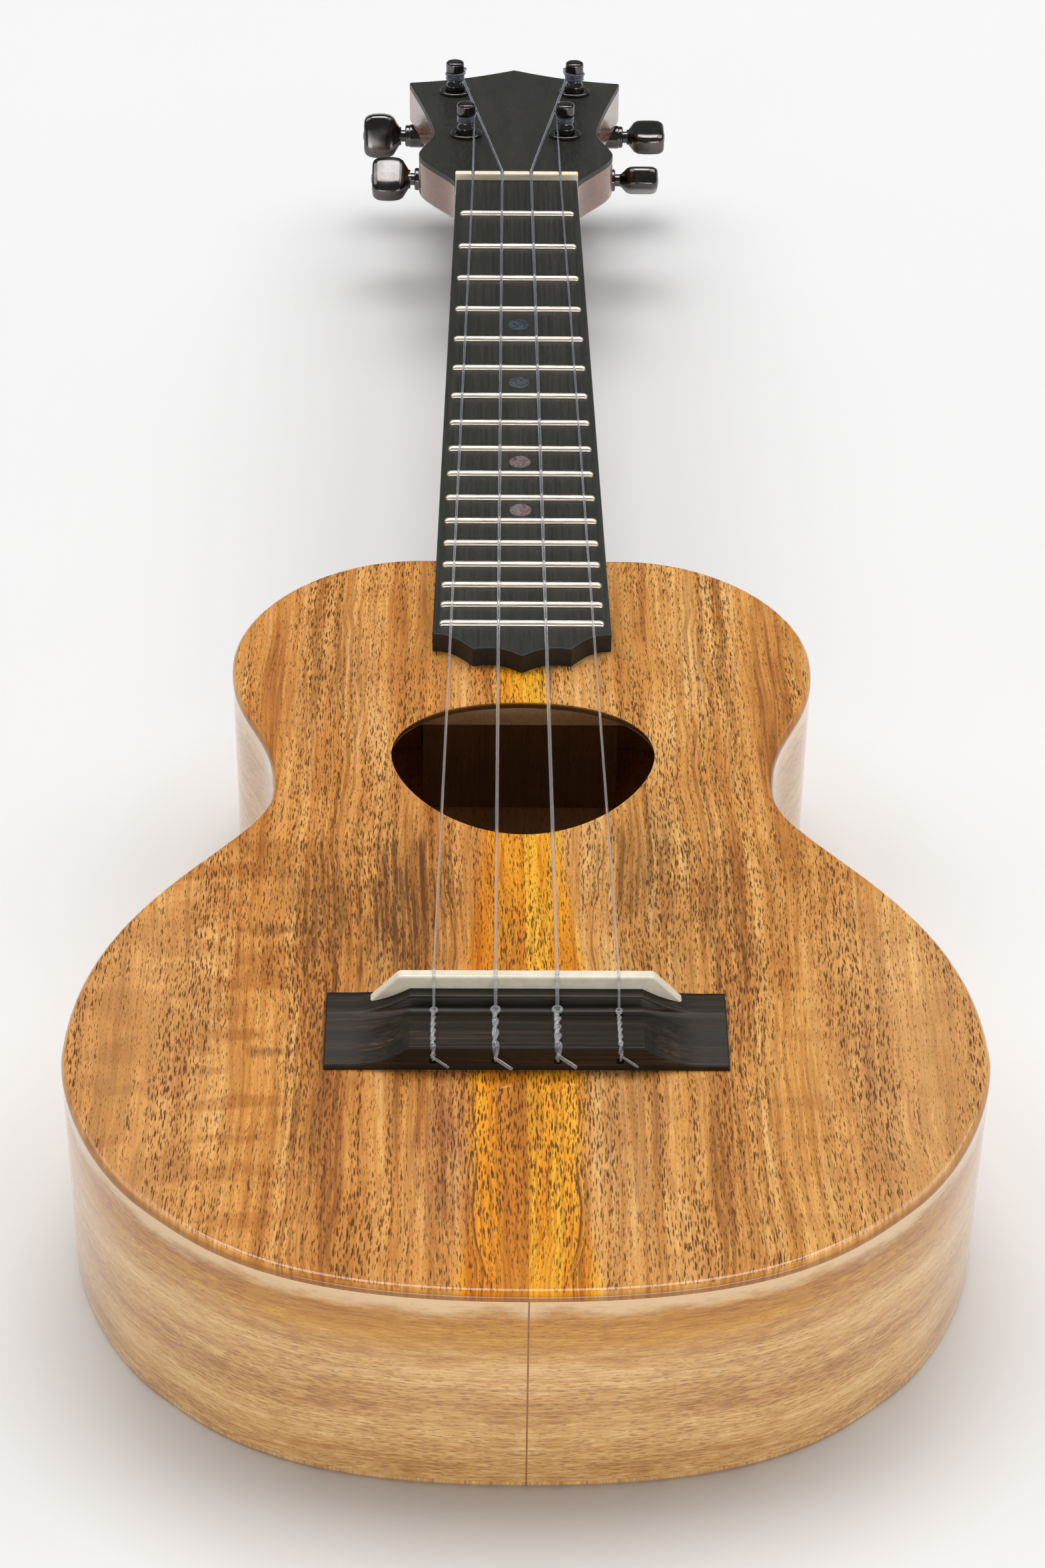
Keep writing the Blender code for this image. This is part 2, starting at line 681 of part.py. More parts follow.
def make_post(name, x, along):
    """The string post and the worm wheel on its foot, turning about the headstock's normal."""
    foot = -WORM_DEPTH - WHEEL_THICK / 2
    profile = [
        (2.0, foot - 1.4),
        (2.0, foot + 0.4),
        (POST_R, foot + 0.5),
        (POST_R, 3.0),
        (WAIST_R, 4.0),
        (WAIST_R, 6.2),
        (POST_R, 7.4),
        (POST_R, POST_TALL - 0.5),
        (POST_R - 0.5, POST_TALL),
    ]
    frame = head_frame(x, along, 0)
    post = make_object(f"post_{name}", turned(profile, 14), DARK_CHROME, frame=frame)
    wheel = prism(gear_outline(), foot, foot + WHEEL_THICK)
    boolean(post, wheel, "UNION", frame)
    hole = cylinder_between((-5, 0, 8.6), (5, 0, 8.6), 0.7, 8)
    boolean(post, hole, "DIFFERENCE", frame)


def worm_radius(x, angle):
    """Radius of the worm at a place along its axis: one thread, a crest facing the wheel at x = 0."""
    phase = x / WORM_LEAD - (angle + math.pi) / math.tau
    ridge = (0.5 + 0.5 * math.cos(math.tau * phase)) ** 2
    fade = min(1.0, (WORM_HALF - abs(x)) / 0.5)
    return WORM_CORE_R + (WORM_CREST_R - WORM_CORE_R) * ridge * max(fade, 0.0)


def make_worm(name, side, x, along, button_turn):
    """The worm, its shaft and the button, turning about the shaft's own axis across the headstock."""
    sides = 12
    steps = 22
    stations = [-WORM_HALF + 2 * WORM_HALF * i / steps for i in range(steps + 1)]
    rings = [(-WORM_HALF - 0.9, lambda a: 1.6), (-WORM_HALF - 0.1, lambda a: 1.6)]
    rings += [(station, lambda a, s=station: worm_radius(s, a)) for station in stations]
    rings += [(WORM_HALF + 0.1, lambda a: SHAFT_R), (BUTTON_X[0] + 1.5, lambda a: SHAFT_R)]
    sections = []
    for station, radius in rings:
        ring = []
        for i in range(sides):
            # the angle is measured about +X from the direction that points away from the wheel
            angle = math.tau * i / sides
            r = radius(angle)
            ring.append((side * station, r * math.cos(angle), r * math.sin(angle)))
        sections.append(ring)
    frame = head_frame(x, along + WORM_OFFSET, WORM_DEPTH)
    worm = make_object(f"worm_{name}", loft(sections), DARK_CHROME, frame=frame)
    boolean(worm, button(side, button_turn), "UNION", frame)


def button(side, turn):
    """An oblong button with rounded corners, thinner towards the shaft."""
    sections = []
    inner, outer = BUTTON_X
    for t, swell in ((0.0, 0.42), (0.1, 0.6), (0.28, 0.9), (0.55, 1.0), (0.8, 0.95), (0.94, 0.8), (1.0, 0.6)):
        ring = []
        for i in range(16):
            angle = math.tau * i / 16
            wide = BUTTON_WIDE / 2 * swell * math.copysign(abs(math.cos(angle)) ** 0.6, math.cos(angle))
            thick = BUTTON_THICK / 2 * min(1.0, swell + 0.1)
            thick *= math.copysign(abs(math.sin(angle)) ** 0.6, math.sin(angle))
            y = wide * math.cos(turn) - thick * math.sin(turn)
            z = wide * math.sin(turn) + thick * math.cos(turn)
            ring.append((side * (inner + (outer - inner) * t), y, z))
        sections.append(ring)
    return loft(sections)


def make_housing(name, side, x, along):
    """A tray under the headstock around the wheel and the worm, with a collar for the shaft."""
    rim = HEAD_THICK + GAP
    frame = head_frame(x, along, rim)
    (x0, x1), (y0, y1) = HOUSING_X, HOUSING_Y
    cut = 2.2
    plan = [(x0 + cut, y0), (x1 - cut, y0), (x1, y0 + cut), (x1, y1 - cut)]
    plan += [(x1 - cut, y1), (x0 + cut, y1), (x0, y1 - cut), (x0, y0 + cut)]
    shell = make_object(
        f"housing_{name}", prism(mirrored(plan, side), -HOUSING_TALL, 0.0), DARK_CHROME, frame=frame
    )
    axis_z = rim - WORM_DEPTH
    collar = cylinder_between(
        (side * (x1 - 1.5), WORM_OFFSET, axis_z), (side * COLLAR_END, WORM_OFFSET, axis_z), COLLAR_R, 14
    )
    boolean(shell, collar, "UNION", frame)
    wall = HOUSING_WALL
    low = (min(side * (x0 + wall), side * (x1 - wall)), y0 + wall, -HOUSING_TALL + wall)
    high = (max(side * (x0 + wall), side * (x1 - wall)), y1 - wall, 3.0)
    boolean(shell, block(low, high), "DIFFERENCE", frame)
    bore = cylinder_between(
        (side * 5.0, WORM_OFFSET, axis_z), (side * (COLLAR_END + 2), WORM_OFFSET, axis_z), SHAFT_R + GAP, 14
    )
    boolean(shell, bore, "DIFFERENCE", frame)


def make_bushing(name, x, along):
    """A flanged sleeve in the headstock that the post turns in."""
    frame = head_frame(x, along, 0)
    profile = [
        (BUSH_R, -BUSH_DEEP),
        (BUSH_R, GAP),
        (FLANGE_R, GAP),
        (FLANGE_R, FLANGE_TALL - 0.3),
        (FLANGE_R - 0.5, FLANGE_TALL),
    ]
    bush = make_object(f"bushing_{name}", turned(profile, 18), DARK_CHROME, frame=frame)
    bore = turned([(BUSH_BORE_R, -BUSH_DEEP - 2), (BUSH_BORE_R, FLANGE_TALL + 2)], 14)
    boolean(bush, bore, "DIFFERENCE", frame)


def make_tuners():
    turns = {"near_left": 35, "near_right": -30, "far_left": 80, "far_right": 8}
    for name, side, x, along in posts():
        make_housing(name, side, x, along)
        make_bushing(name, x, along)
        make_post(name, x, along)
        make_worm(name, side, x, along, math.radians(turns[name]))


def main():
    clear_scene()
    make_plates()
    make_sides()
    make_linings()
    make_blocks()
    make_braces()
    make_neck()
    make_fretboard()
    make_frets()
    make_nut()
    make_bridge()
    make_saddle()
    make_strings()
    make_tuners()


main()
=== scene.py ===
"""Looks of a concert ukulele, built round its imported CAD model.

Lengths are in millimetres until piece() turns them into metres. X points to the treble side, Y from the
body towards the headstock, Z up from the flat back. Every mesh lies in that frame, so that a grain follows
its piece wherever it goes.
"""

import math

import bmesh
import bpy
from mathutils import Matrix, Vector


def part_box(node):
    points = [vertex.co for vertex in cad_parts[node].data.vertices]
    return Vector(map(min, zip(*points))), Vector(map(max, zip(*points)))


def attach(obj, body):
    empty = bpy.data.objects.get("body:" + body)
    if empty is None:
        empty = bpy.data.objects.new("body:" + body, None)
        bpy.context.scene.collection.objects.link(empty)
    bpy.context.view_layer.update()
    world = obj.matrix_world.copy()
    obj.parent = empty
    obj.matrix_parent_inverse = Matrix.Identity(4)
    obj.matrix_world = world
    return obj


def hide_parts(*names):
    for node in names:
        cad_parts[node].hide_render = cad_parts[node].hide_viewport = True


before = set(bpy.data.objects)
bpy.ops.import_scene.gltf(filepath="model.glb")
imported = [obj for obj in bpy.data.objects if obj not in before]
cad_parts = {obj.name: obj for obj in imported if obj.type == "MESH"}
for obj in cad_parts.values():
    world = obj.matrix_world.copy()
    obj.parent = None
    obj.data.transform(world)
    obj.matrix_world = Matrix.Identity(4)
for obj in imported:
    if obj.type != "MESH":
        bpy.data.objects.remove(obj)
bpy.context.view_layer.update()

MM = 0.001
FIXED = "instrument"


def corners(node):
    """Lowest and highest corner of a CAD node, in millimetres."""
    low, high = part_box(node)
    return low / MM, high / MM


# Places read from the frame
TOP_LOW, TOP_HIGH = corners("soundboard")
TOP_Z = TOP_HIGH.z
PLATE = TOP_HIGH.z - TOP_LOW.z
BOARD_Z = corners("fretboard")[1].z
FRET_TOP_Z = corners("fret_01")[1].z
NUT_LOW, NUT_HIGH = corners("nut")
NUT_Y = NUT_LOW.y
NUT_THICK = NUT_HIGH.y - NUT_LOW.y
BRIDGE_LOW, BRIDGE_HIGH = corners("bridge")
BRIDGE_HALF = BRIDGE_HIGH.x
BRIDGE_LONG = BRIDGE_HIGH.y - BRIDGE_LOW.y
SADDLE_LOW, SADDLE_HIGH = corners("saddle")
SADDLE_Y = (SADDLE_LOW.y + SADDLE_HIGH.y) / 2
SADDLE_THICK = SADDLE_HIGH.y - SADDLE_LOW.y
NUT_TO_TAIL = NUT_Y - TOP_LOW.y

# The body's plan, right half: x, distance behind the nut, heading, handle before and after
NUT_TO_BODY = NUT_Y - TOP_HIGH.y
SIDE = 2.0
TOP_ROUND = 1.9
HOLE_ROUND = 0.7
BODY_NODES = [
    (27.2, NUT_TO_BODY, 0.0, 0.0, 26.0),
    (75.5, 247.0, math.pi / 2, 24.5, 26.0),
    (62.6, 301.0, math.pi / 2, 24.6, 22.0),
    (106.4, 398.0, math.pi / 2, 57.0, 13.0),
    (84.3, 447.5, math.pi / 2 + math.radians(47.0), 19.6, 19.6),
    (0.0, NUT_TO_TAIL, math.pi, 54.0, 0.0),
]
HOLE_NODES = [
    (0.0, 264.6, 0.0, 0.0, 24.0),
    (34.0, 287.0, math.pi / 2, 11.0, 13.0),
    (0.0, 320.0, math.pi, 19.0, 0.0),
]
OUTLINE_STEPS = 26

# Neck, fretboard and headstock
SCALE_LENGTH = 381.0
NUT_HALF = 18.9
FRET_14_HALF = 22.85
BOARD_CORNER_AT = 242.9
BOARD_CUSP = (12.9, 249.6)
BOARD_TIP_AT = 252.6
SCALLOP_SAG = 1.9
FRETS = 17
FRET_END = 1.3
DOT_R = 3.0
DOTS_BEFORE = (5, 7, 10, 12)
NECK_SECTIONS = [  # distance behind the nut, depth, roundness across, roundness down
    (-12.0, 12.6, 0.22, 0.25),
    (-5.0, 12.9, 0.24, 0.28),
    (0.0, 13.0, 0.34, 0.40),
    (6.0, 13.2, 0.50, 0.62),
    (14.0, 13.5, 0.66, 0.82),
    (28.0, 13.8, 0.74, 0.90),
    (60.0, 14.2, 0.75, 0.90),
    (120.0, 15.2, 0.75, 0.90),
    (158.0, 16.2, 0.80, 0.90),
    (172.0, 19.0, 0.90, 0.90),
    (180.0, 25.0, 1.00, 0.90),
    (185.5, 35.0, 1.10, 0.90),
    (189.0, 46.0, 1.15, 0.90),
    (191.0, 54.0, 1.20, 0.90),
    (192.2, 57.5, 1.25, 0.90),
    (NUT_TO_BODY, 57.5, 1.25, 0.90),
]
HEAD_TILT = math.radians(9.0)
HEAD_START = 2.0
HEAD_DROP = 4.5
HEAD_TIP = 116.0
CROWN_SAG = 2.2
HEAD_THICK = 14.0
HEADPLATE = 2.0
HEADPLATE_START = 3.5
PADDLE_START = -1.5
HEAD_NODES = [
    (18.9, 3.0, math.radians(80), 0.0, 9.0),
    (31.2, 31.0, math.radians(88), 9.0, 4.5),
    (26.7, 49.5, math.radians(96), 6.0, 8.0),
    (35.6, 102.0, math.radians(78), 16.0, 0.0),
]

# Tuners
NEAR_POST = (16.1, 48.5)
FAR_POST = (20.0, 91.3)
POST_R = 3.0
POST_TALL = 11.0
WAIST_R = 2.3
STRING_HOLE_Z = 8.6
WIND_START = 4.6  # height of the lowest turn of string above the headstock's face
BUSH_R = 4.3
BUSH_BORE_R = 3.3
BUSH_DEEP = 9.0
FLANGE_R = 5.2
FLANGE_TALL = 1.2
TEETH = 14
WHEEL_R = 6.1
WHEEL_ROOT_R = 5.1
WHEEL_THICK = 3.6
WORM_OFFSET = 9.0
WORM_DEPTH = 18.3
WORM_CORE_R = 2.6
WORM_CREST_R = 3.6
WORM_HALF = 4.0
WORM_TIP_R = 1.6
WORM_LEAD = math.tau * (WORM_OFFSET - 3.4) / TEETH
SHAFT_R = 2.0
HOUSING_X = (-7.7, 10.0)
HOUSING_Y = (-7.9, 14.3)
HOUSING_TALL = 9.0
HOUSING_WALL = 1.2
COLLAR_R = 3.9
COLLAR_END = 17.0
BUTTON_X = (18.4, 31.0)
BUTTON_WIDE = 15.0
BUTTON_THICK = 8.0
BUTTON_SHAPE = [  # share of the length, share of the full width
    (0.0, 0.40), (0.05, 0.42), (0.12, 0.62), (0.20, 0.84), (0.30, 0.94), (0.45, 0.995),
    (0.60, 1.0), (0.75, 0.985), (0.86, 0.94), (0.94, 0.86), (0.985, 0.76), (1.0, 0.64),
]
BUTTON_TURNS = {"near_left": 35, "near_right": -30, "far_left": 80, "far_right": 8}

# Bridge and strings
BLOCK_HALF = 26.8
SCOOP = 14.0
BRIDGE_PROFILE = [  # distance back from the front edge, height at the middle, height at the wings
    (0.0, 3.2, 2.4),
    (1.3, 7.1, 2.5),
    (6.9, 7.1, 2.5),
    (7.7, 4.6, 2.4),
    (9.0, 4.2, 2.3),
    (11.0, 5.0, 2.2),
    (14.0, 5.9, 2.0),
    (18.5, 6.5, 1.7),
    (24.0, 6.8, 1.4),
]
SADDLE_FLAT = 29.4
SADDLE_SHOULDER = 2.9
STRINGS = {"g": (0, 0.33), "c": (1, 0.42), "e": (2, 0.45), "a": (3, 0.30)}  # place across, radius
KNOT_TURNS = {"g": 3.0, "c": 1.8, "e": 2.4, "a": 3.3}
NUT_SPACING = 9.1
SADDLE_SPACING = 14.2
TIE_HOLE_R = 0.95
TIE_HOLE_BACK = 2.6
TIE_HOLE_FRONT = 5.4
NUT_SLOT_Z = FRET_TOP_Z + 0.4
NUT_FALL = 1.3
NUT_ROUND = 0.3
GROOVE_PLAY = 0.08

# Stage: the camera's place in millimetres, the floor and lights in metres and watts
CAMERA_PLACE = (-11.27, -841.15, 628.16)
CAMERA_LENS = 84.18
CAMERA_PITCH = math.radians(38.157)
CAMERA_YAW = math.radians(0.879)
CAMERA_ROLL = math.radians(0.774)
FLOOR_HALF = 14.0
WORLD_STRENGTH = 0.14
LIGHTS = {  # place, target, size, power
    "overhead": ((0.0, 1.45, 4.5), (0.0, 0.0, 0.0), (2.6, 2.6), 121.0),
    "back_left": ((-2.9, 1.00, 3.8), (0.0, 0.0, 0.0), (3.2, 3.2), 70.0),
    "back_right": ((2.9, 1.10, 3.8), (0.0, 0.0, 0.0), (3.2, 3.2), 79.0),
    "front": ((0.2, -2.0, 0.22), (0.0, -0.3, 0.03), (3.0, 0.28), 17.0),
}


# ---------------------------------------------------------------- meshes


def piece(name, bm, materials, stands_for=(), body=FIXED, place=None, sharp=38.0, flat=True):
    """Turn a bmesh in millimetres into a finished piece that rides a body and stands for CAD nodes."""
    if place is not None:
        bmesh.ops.transform(bm, matrix=place, verts=bm.verts[:])
    bmesh.ops.recalc_face_normals(bm, faces=bm.faces[:])
    bmesh.ops.scale(bm, vec=(MM, MM, MM), verts=bm.verts[:])
    mesh = bpy.data.meshes.new(name)
    bm.to_mesh(mesh)
    bm.free()
    mesh.shade_smooth()
    mesh.set_sharp_from_angle(angle=math.radians(sharp))
    for material in materials if isinstance(materials, (list, tuple)) else [materials]:
        mesh.materials.append(material)
    made = bpy.data.objects.new(name, mesh)
    bpy.context.scene.collection.objects.link(made)
    if flat:
        normals = made.modifiers.new("flat_faces", "WEIGHTED_NORMAL")
        normals.keep_sharp = True
        normals.weight = 100
    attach(made, body)
    if stands_for:
        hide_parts(*stands_for)
    return made


def combine(base, tool, operation):
    """Cut the closed mesh `tool` out of `base`, or join it on, and return the new mesh."""
    pair = []
    for bm in (base, tool):
        bmesh.ops.recalc_face_normals(bm, faces=bm.faces[:])
        mesh = bpy.data.meshes.new("part")
        bm.to_mesh(mesh)
        bm.free()
        pair.append(bpy.data.objects.new("part", mesh))
        bpy.context.scene.collection.objects.link(pair[-1])
    change = pair[0].modifiers.new("change", "BOOLEAN")
    change.operation = operation
    change.object = pair[1]
    result = bmesh.new()
    result.from_object(pair[0], bpy.context.evaluated_depsgraph_get())
    for item in pair:
        bpy.data.objects.remove(item)
    return result


def rings_between(bm, rings, closed=False):
    """Skin a row of rings of vertices; `closed` joins the last ring to the first."""
    pairs = list(zip(rings, rings[1:]))
    if closed:
        pairs.append((rings[-1], rings[0]))
    for ring, after in pairs:
        for i in range(len(ring)):
            j = (i + 1) % len(ring)
            bm.faces.new((ring[i], ring[j], after[j], after[i]))


def loft(sections):
    """Skin a row of closed sections and cap both ends."""
    bm = bmesh.new()
    rings = [[bm.verts.new(p) for p in section] for section in sections]
    rings_between(bm, rings)
    bm.faces.new(rings[0][::-1])
    bm.faces.new(rings[-1])
    return bm


def inset(points, by):
    """A closed outline moved inwards, mitred at its corners."""
    following = points[1:] + points[:1]
    area = sum(a[0] * b[1] - b[0] * a[1] for a, b in zip(points, following))
    found = []
    for before, here, after in zip(points[-1:] + points[:-1], points, following):
        into = (Vector(here) - Vector(before)).normalized()
        out = (Vector(after) - Vector(here)).normalized()
        a, b = Vector((-into.y, into.x)), Vector((-out.y, out.x))
        way = (a + b) / (1 + a.dot(b)) * math.copysign(by, area)
        found.append((here[0] + way.x, here[1] + way.y))
    return found


def rolled(low, high, low_round, high_round, steps=6):
    """(inset, z) levels of a plate whose lower and upper edges are rounded."""
    levels = []
    for radius, z, way in ((low_round, low, -1), (high_round, high, 1)):
        quarter = []
        for i in range(steps + 1 if radius else 1):
            turn = math.pi / 2 * i / steps
            quarter.append((radius * (1 - math.cos(turn)), z - way * radius * (1 - math.sin(turn))))
        levels += quarter[::-1] if way < 0 else quarter
    return levels


def slab(outline, low, high, low_round=0.0, high_round=0.0, steps=6):
    """A plate of any outline with rounded edges."""
    levels = rolled(low, high, low_round, high_round, steps)
    return loft([[(x, y, z) for x, y in inset(outline, by)] for by, z in levels])


def placed(bm, matrix):
    """Move a mesh that is still being made, and return it."""
    bmesh.ops.transform(bm, matrix=matrix, verts=bm.verts[:])
    return bm


def box_plan(x0, x1, y0, y1):
    return [(x0, y0), (x1, y0), (x1, y1), (x0, y1)]


def sagging(a, b, sag, steps):
    """Points from `a` up to, but not including, `b`, on a shallow arc that dips by `sag`."""
    points = []
    for i in range(steps):
        t = i / steps
        dip = sag * math.sin(math.pi * t)
        points.append((a[0] + (b[0] - a[0]) * t, a[1] + (b[1] - a[1]) * t - dip))
    return points


def circle(radius, sides):
    angles = [math.tau * i / sides for i in range(sides)]
    return [(radius * math.cos(a), radius * math.sin(a)) for a in angles]


def turned(profile, sides=40):
    """A solid turned about Z, from (radius, height) pairs, lowest first."""
    return loft([[(x, y, z) for x, y in circle(r, sides)] for r, z in profile])


def turned_ring(profile, sides=40):
    """A hollow turned piece: its closed profile never touches the axis."""
    bm = bmesh.new()
    rings = [[bm.verts.new((x, y, z)) for x, y in circle(r, sides)] for r, z in profile]
    rings_between(bm, rings, closed=True)
    return bm


def soften(points, cut, steps=4, closed=False):
    """Replace each corner of a row of points by a short curve that starts `cut` away from it."""
    points = [Vector(p) for p in points]
    found = []
    last = len(points) - 1
    for i, here in enumerate(points):
        if not closed and i in (0, last):
            found.append(tuple(here))
            continue
        before, after = points[i - 1], points[(i + 1) % len(points)]
        a = here.lerp(before, min(cut / (before - here).length, 0.45))
        b = here.lerp(after, min(cut / (after - here).length, 0.45))
        for k in range(steps + 1):
            t = k / steps
            found.append(tuple(a * (1 - t) ** 2 + here * (2 * t * (1 - t)) + b * t**2))
    return found


def smooth_row(points, per):
    """More points between the given ones, on a Catmull-Rom curve through them."""
    points = [Vector(p) for p in points]
    found = []
    for i in range(len(points) - 1):
        a, b = points[max(i - 1, 0)], points[i]
        c, d = points[i + 1], points[min(i + 2, len(points) - 1)]
        for k in range(per):
            t = k / per
            curve = b * 2 + (c - a) * t + (a * 2 - b * 5 + c * 4 - d) * t**2
            found.append((curve + (b * 3 - a - c * 3 + d) * t**3) / 2)
    return found + [points[-1]]


def tube(path, radius, sides):
    """A round tube along `path`, with slightly rounded ends."""
    path = [Vector(p) for p in path]
    normal = None
    sections = []
    for i, point in enumerate(path):
        forward = (path[min(i + 1, len(path) - 1)] - path[max(i - 1, 0)]).normalized()
        if normal is None:
            normal = forward.orthogonal()
        normal = (normal - forward * normal.dot(forward)).normalized()
        side = forward.cross(normal)
        ring = [point + normal * x + side * y for x, y in circle(radius, sides)]
        if i in (0, len(path) - 1):
            inwards = forward * (0.25 * radius * (1 if i == 0 else -1))
            edge = [p + inwards for p in ring]
            face = [point + (p - point) * 0.8 for p in ring]
            sections += [face, edge] if i == 0 else [edge, face]
        else:
            sections.append(ring)
    return loft(sections)


def bezier(nodes, steps):
    """Points along Bezier spans through nodes of (x, y, heading, handle in, handle out)."""
    found = []
    for (x0, y0, a0, _, out), (x1, y1, a1, into, _) in zip(nodes, nodes[1:]):
        p0, p3 = Vector((x0, y0)), Vector((x1, y1))
        p1 = p0 + Vector((math.cos(a0), math.sin(a0))) * out
        p2 = p3 - Vector((math.cos(a1), math.sin(a1))) * into
        for i in range(steps):
            t = i / steps
            s = 1 - t
            found.append(p0 * s**3 + p1 * (3 * s * s * t) + p2 * (3 * s * t * t) + p3 * t**3)
    return found + [Vector(nodes[-1][:2])]


def behind_nut(distance):
    return NUT_Y - distance


def mirrored(points, side=-1):
    return [(side * p[0], *p[1:]) for p in points]


def outline(nodes):
    """Half of a plan of the body, from its nodes."""
    return [(p.x, behind_nut(p.y)) for p in bezier(nodes, OUTLINE_STEPS)]


def closed_plan(half):
    """Whole outline from its right half, whose first and last points lie on the centre line."""
    return half + mirrored(half[1:-1])[::-1]


def body_half():
    return [(0.0, behind_nut(NUT_TO_BODY))] + outline(BODY_NODES)


def board_half(distance):
    return NUT_HALF + (FRET_14_HALF - NUT_HALF) * distance / fret_distance(14)


def fret_distance(number):
    return SCALE_LENGTH * (1 - 2 ** (-number / 12))


def head_frame(x=0.0, along=0.0, depth=0.0):
    """Frame on the headstock: X across, Y along the face towards the tip, Z out of the face."""
    zero = Matrix.Translation((0, NUT_Y + HEAD_START, FRET_TOP_Z - HEAD_DROP))
    return zero @ Matrix.Rotation(-HEAD_TILT, 4, "X") @ Matrix.Translation((x, along, -depth))


def worm_frame(x, along):
    """Frame on a worm's axis, beside the post at `x` and `along`."""
    return head_frame(x, along + WORM_OFFSET, WORM_DEPTH)


def sideways(side, x, y=0.0, z=0.0):
    """A place whose Z points out of the headstock's left or right edge."""
    return Matrix.Translation((side * x, y, z)) @ Matrix.Rotation(side * math.pi / 2, 4, "Y")


def tuners():
    """Each tuner's name, its side and its post's place on the headstock."""
    for place, (x, along) in (("near", NEAR_POST), ("far", FAR_POST)):
        for hand, side in (("left", -1), ("right", 1)):
            yield f"{place}_{hand}", side, side * x, along


# ---------------------------------------------------------------- materials


class Paint:
    """Builds one node material. A socket given as a value is linked, anything else is set."""

    def __init__(self, name, **uniform):
        self.material = bpy.data.materials.new(name)
        self.material.use_nodes = True
        self.tree = self.material.node_tree
        self.shader = self.tree.nodes["Principled BSDF"]
        for key, value in uniform.items():
            self.shader.inputs[key.replace("_", " ")].default_value = value

    def add(self, kind, inputs, output=0, **settings):
        node = self.tree.nodes.new(f"ShaderNode{kind}")
        for key, value in settings.items():
            setattr(node, key, value)
        for key, value in inputs.items():
            self.feed(node.inputs[key], value)
        return node.outputs[output]

    def feed(self, socket, value):
        if isinstance(value, bpy.types.NodeSocket):
            self.tree.links.new(value, socket)
        else:
            socket.default_value = value

    def math(self, operation, a, b=0.0):
        return self.add("Math", {0: a, 1: b}, operation=operation)

    def place(self):
        """Position on the object in millimetres, and its three coordinates."""
        position = self.add("TexCoord", {}, output=3)
        scaled = self.add("VectorMath", {0: position, 3: 1 / MM}, operation="SCALE")
        x = self.add("SeparateXYZ", {0: scaled})
        return scaled, x, x.node.outputs[1], x.node.outputs[2]

    def times(self, value, factor):
        return self.math("MULTIPLY", value, factor)

    def plus(self, value, other):
        return self.math("ADD", value, other)

    def swing(self, value, wide):
        """A noise value round 0.5 as a shift to either side, `wide` times as far."""
        return self.times(self.plus(value, -0.5), wide)

    def weighted(self, *parts):
        """The sum of values, given in pairs with their weights."""
        total = self.times(*parts[0])
        for part in parts[1:]:
            total = self.plus(total, self.times(*part))
        return total

    def most(self, highest, *others):
        for other in others:
            highest = self.math("MAXIMUM", highest, other)
        return highest

    def stretched(self, across, along, across_rate, along_rate, layer=0.0):
        """A texture place with its own number of features per millimetre each way."""
        across = self.times(across, across_rate)
        along = self.times(along, along_rate)
        return self.add("CombineXYZ", {0: across, 1: along, 2: layer})

    def noise(self, vector, scale=1.0, detail=2.0, roughness=0.5, distortion=0.0):
        inputs = {"Vector": vector, "Scale": scale, "Detail": detail}
        inputs.update({"Roughness": roughness, "Distortion": distortion})
        return self.add("TexNoise", inputs)

    def streaks(self, across, along, across_rate, along_rate, layer=0.0, detail=2.0, roughness=0.5):
        """Noise drawn out along the grain."""
        place = self.stretched(across, along, across_rate, along_rate, layer)
        return self.noise(place, 1.0, detail, roughness)

    def pores(self, across, along, wide, long, cover, layer=0.0):
        """Thin vessels, one to a cell of `wide` by `long` millimetres: 1 inside one, 0 between them."""
        jitter = self.streaks(across, along, 1.4, 0.45, layer)
        across = self.plus(across, self.plus(self.times(jitter, 0.5), layer))
        place = self.stretched(across, along, 1 / wide, 1 / long)
        distance = self.add("TexVoronoi", {"Vector": place, "Scale": 1.0}, voronoi_dimensions="2D")
        inside = self.times(cover, 0.6)
        return self.add("MapRange", {0: distance, 1: inside, 2: cover, 3: 1.0, 4: 0.0})

    def course(self, value, points):
        """A value in millimetres that follows (place, value) points."""
        (first, _), (last, _) = points[0], points[-1]
        top = max(v for _, v in points)
        place = self.add("MapRange", {0: value, 1: first, 2: last})
        grey = self.ramp(place, [((p - first) / (last - first), (v / top,) * 3) for p, v in points])
        return self.times(grey, top)

    def blot(self, x, y, centre, half, ragged):
        """1 at the middle of an oval patch, 0 outside it, with an uneven edge."""
        across = self.times(self.plus(x, -centre[0]), 1 / half[0])
        along = self.times(self.plus(y, -centre[1]), 1 / half[1])
        offset = self.add("CombineXYZ", {0: across, 1: along})
        reach = self.add("VectorMath", {0: offset}, 1, operation="LENGTH")
        return self.span(self.plus(reach, ragged), 1.15, 0.35)

    def span(self, value, low, high, to_low=0.0, to_high=1.0):
        inputs = {0: value, 1: low, 2: high, 3: to_low, 4: to_high}
        return self.add("MapRange", inputs, interpolation_type="SMOOTHSTEP")

    def polish(self, value, low, high):
        """A roughness between two limits that follows a noise value."""
        return self.span(value, 0.3, 0.7, low, high)

    def ramp(self, value, stops):
        socket = self.add("ValToRGB", {0: value})
        elements = socket.node.color_ramp.elements
        while len(elements) < len(stops):
            elements.new(0.5)
        for element, (position, colour) in zip(elements, stops):
            element.position = position
            element.color = (*colour, 1.0)
        return socket

    def mix(self, factor, a, b, blend="MIX"):
        a = a if isinstance(a, bpy.types.NodeSocket) else (*a, 1.0)
        b = b if isinstance(b, bpy.types.NodeSocket) else (*b, 1.0)
        return self.add("Mix", {0: factor, 6: a, 7: b}, output=2, data_type="RGBA", blend_type=blend)

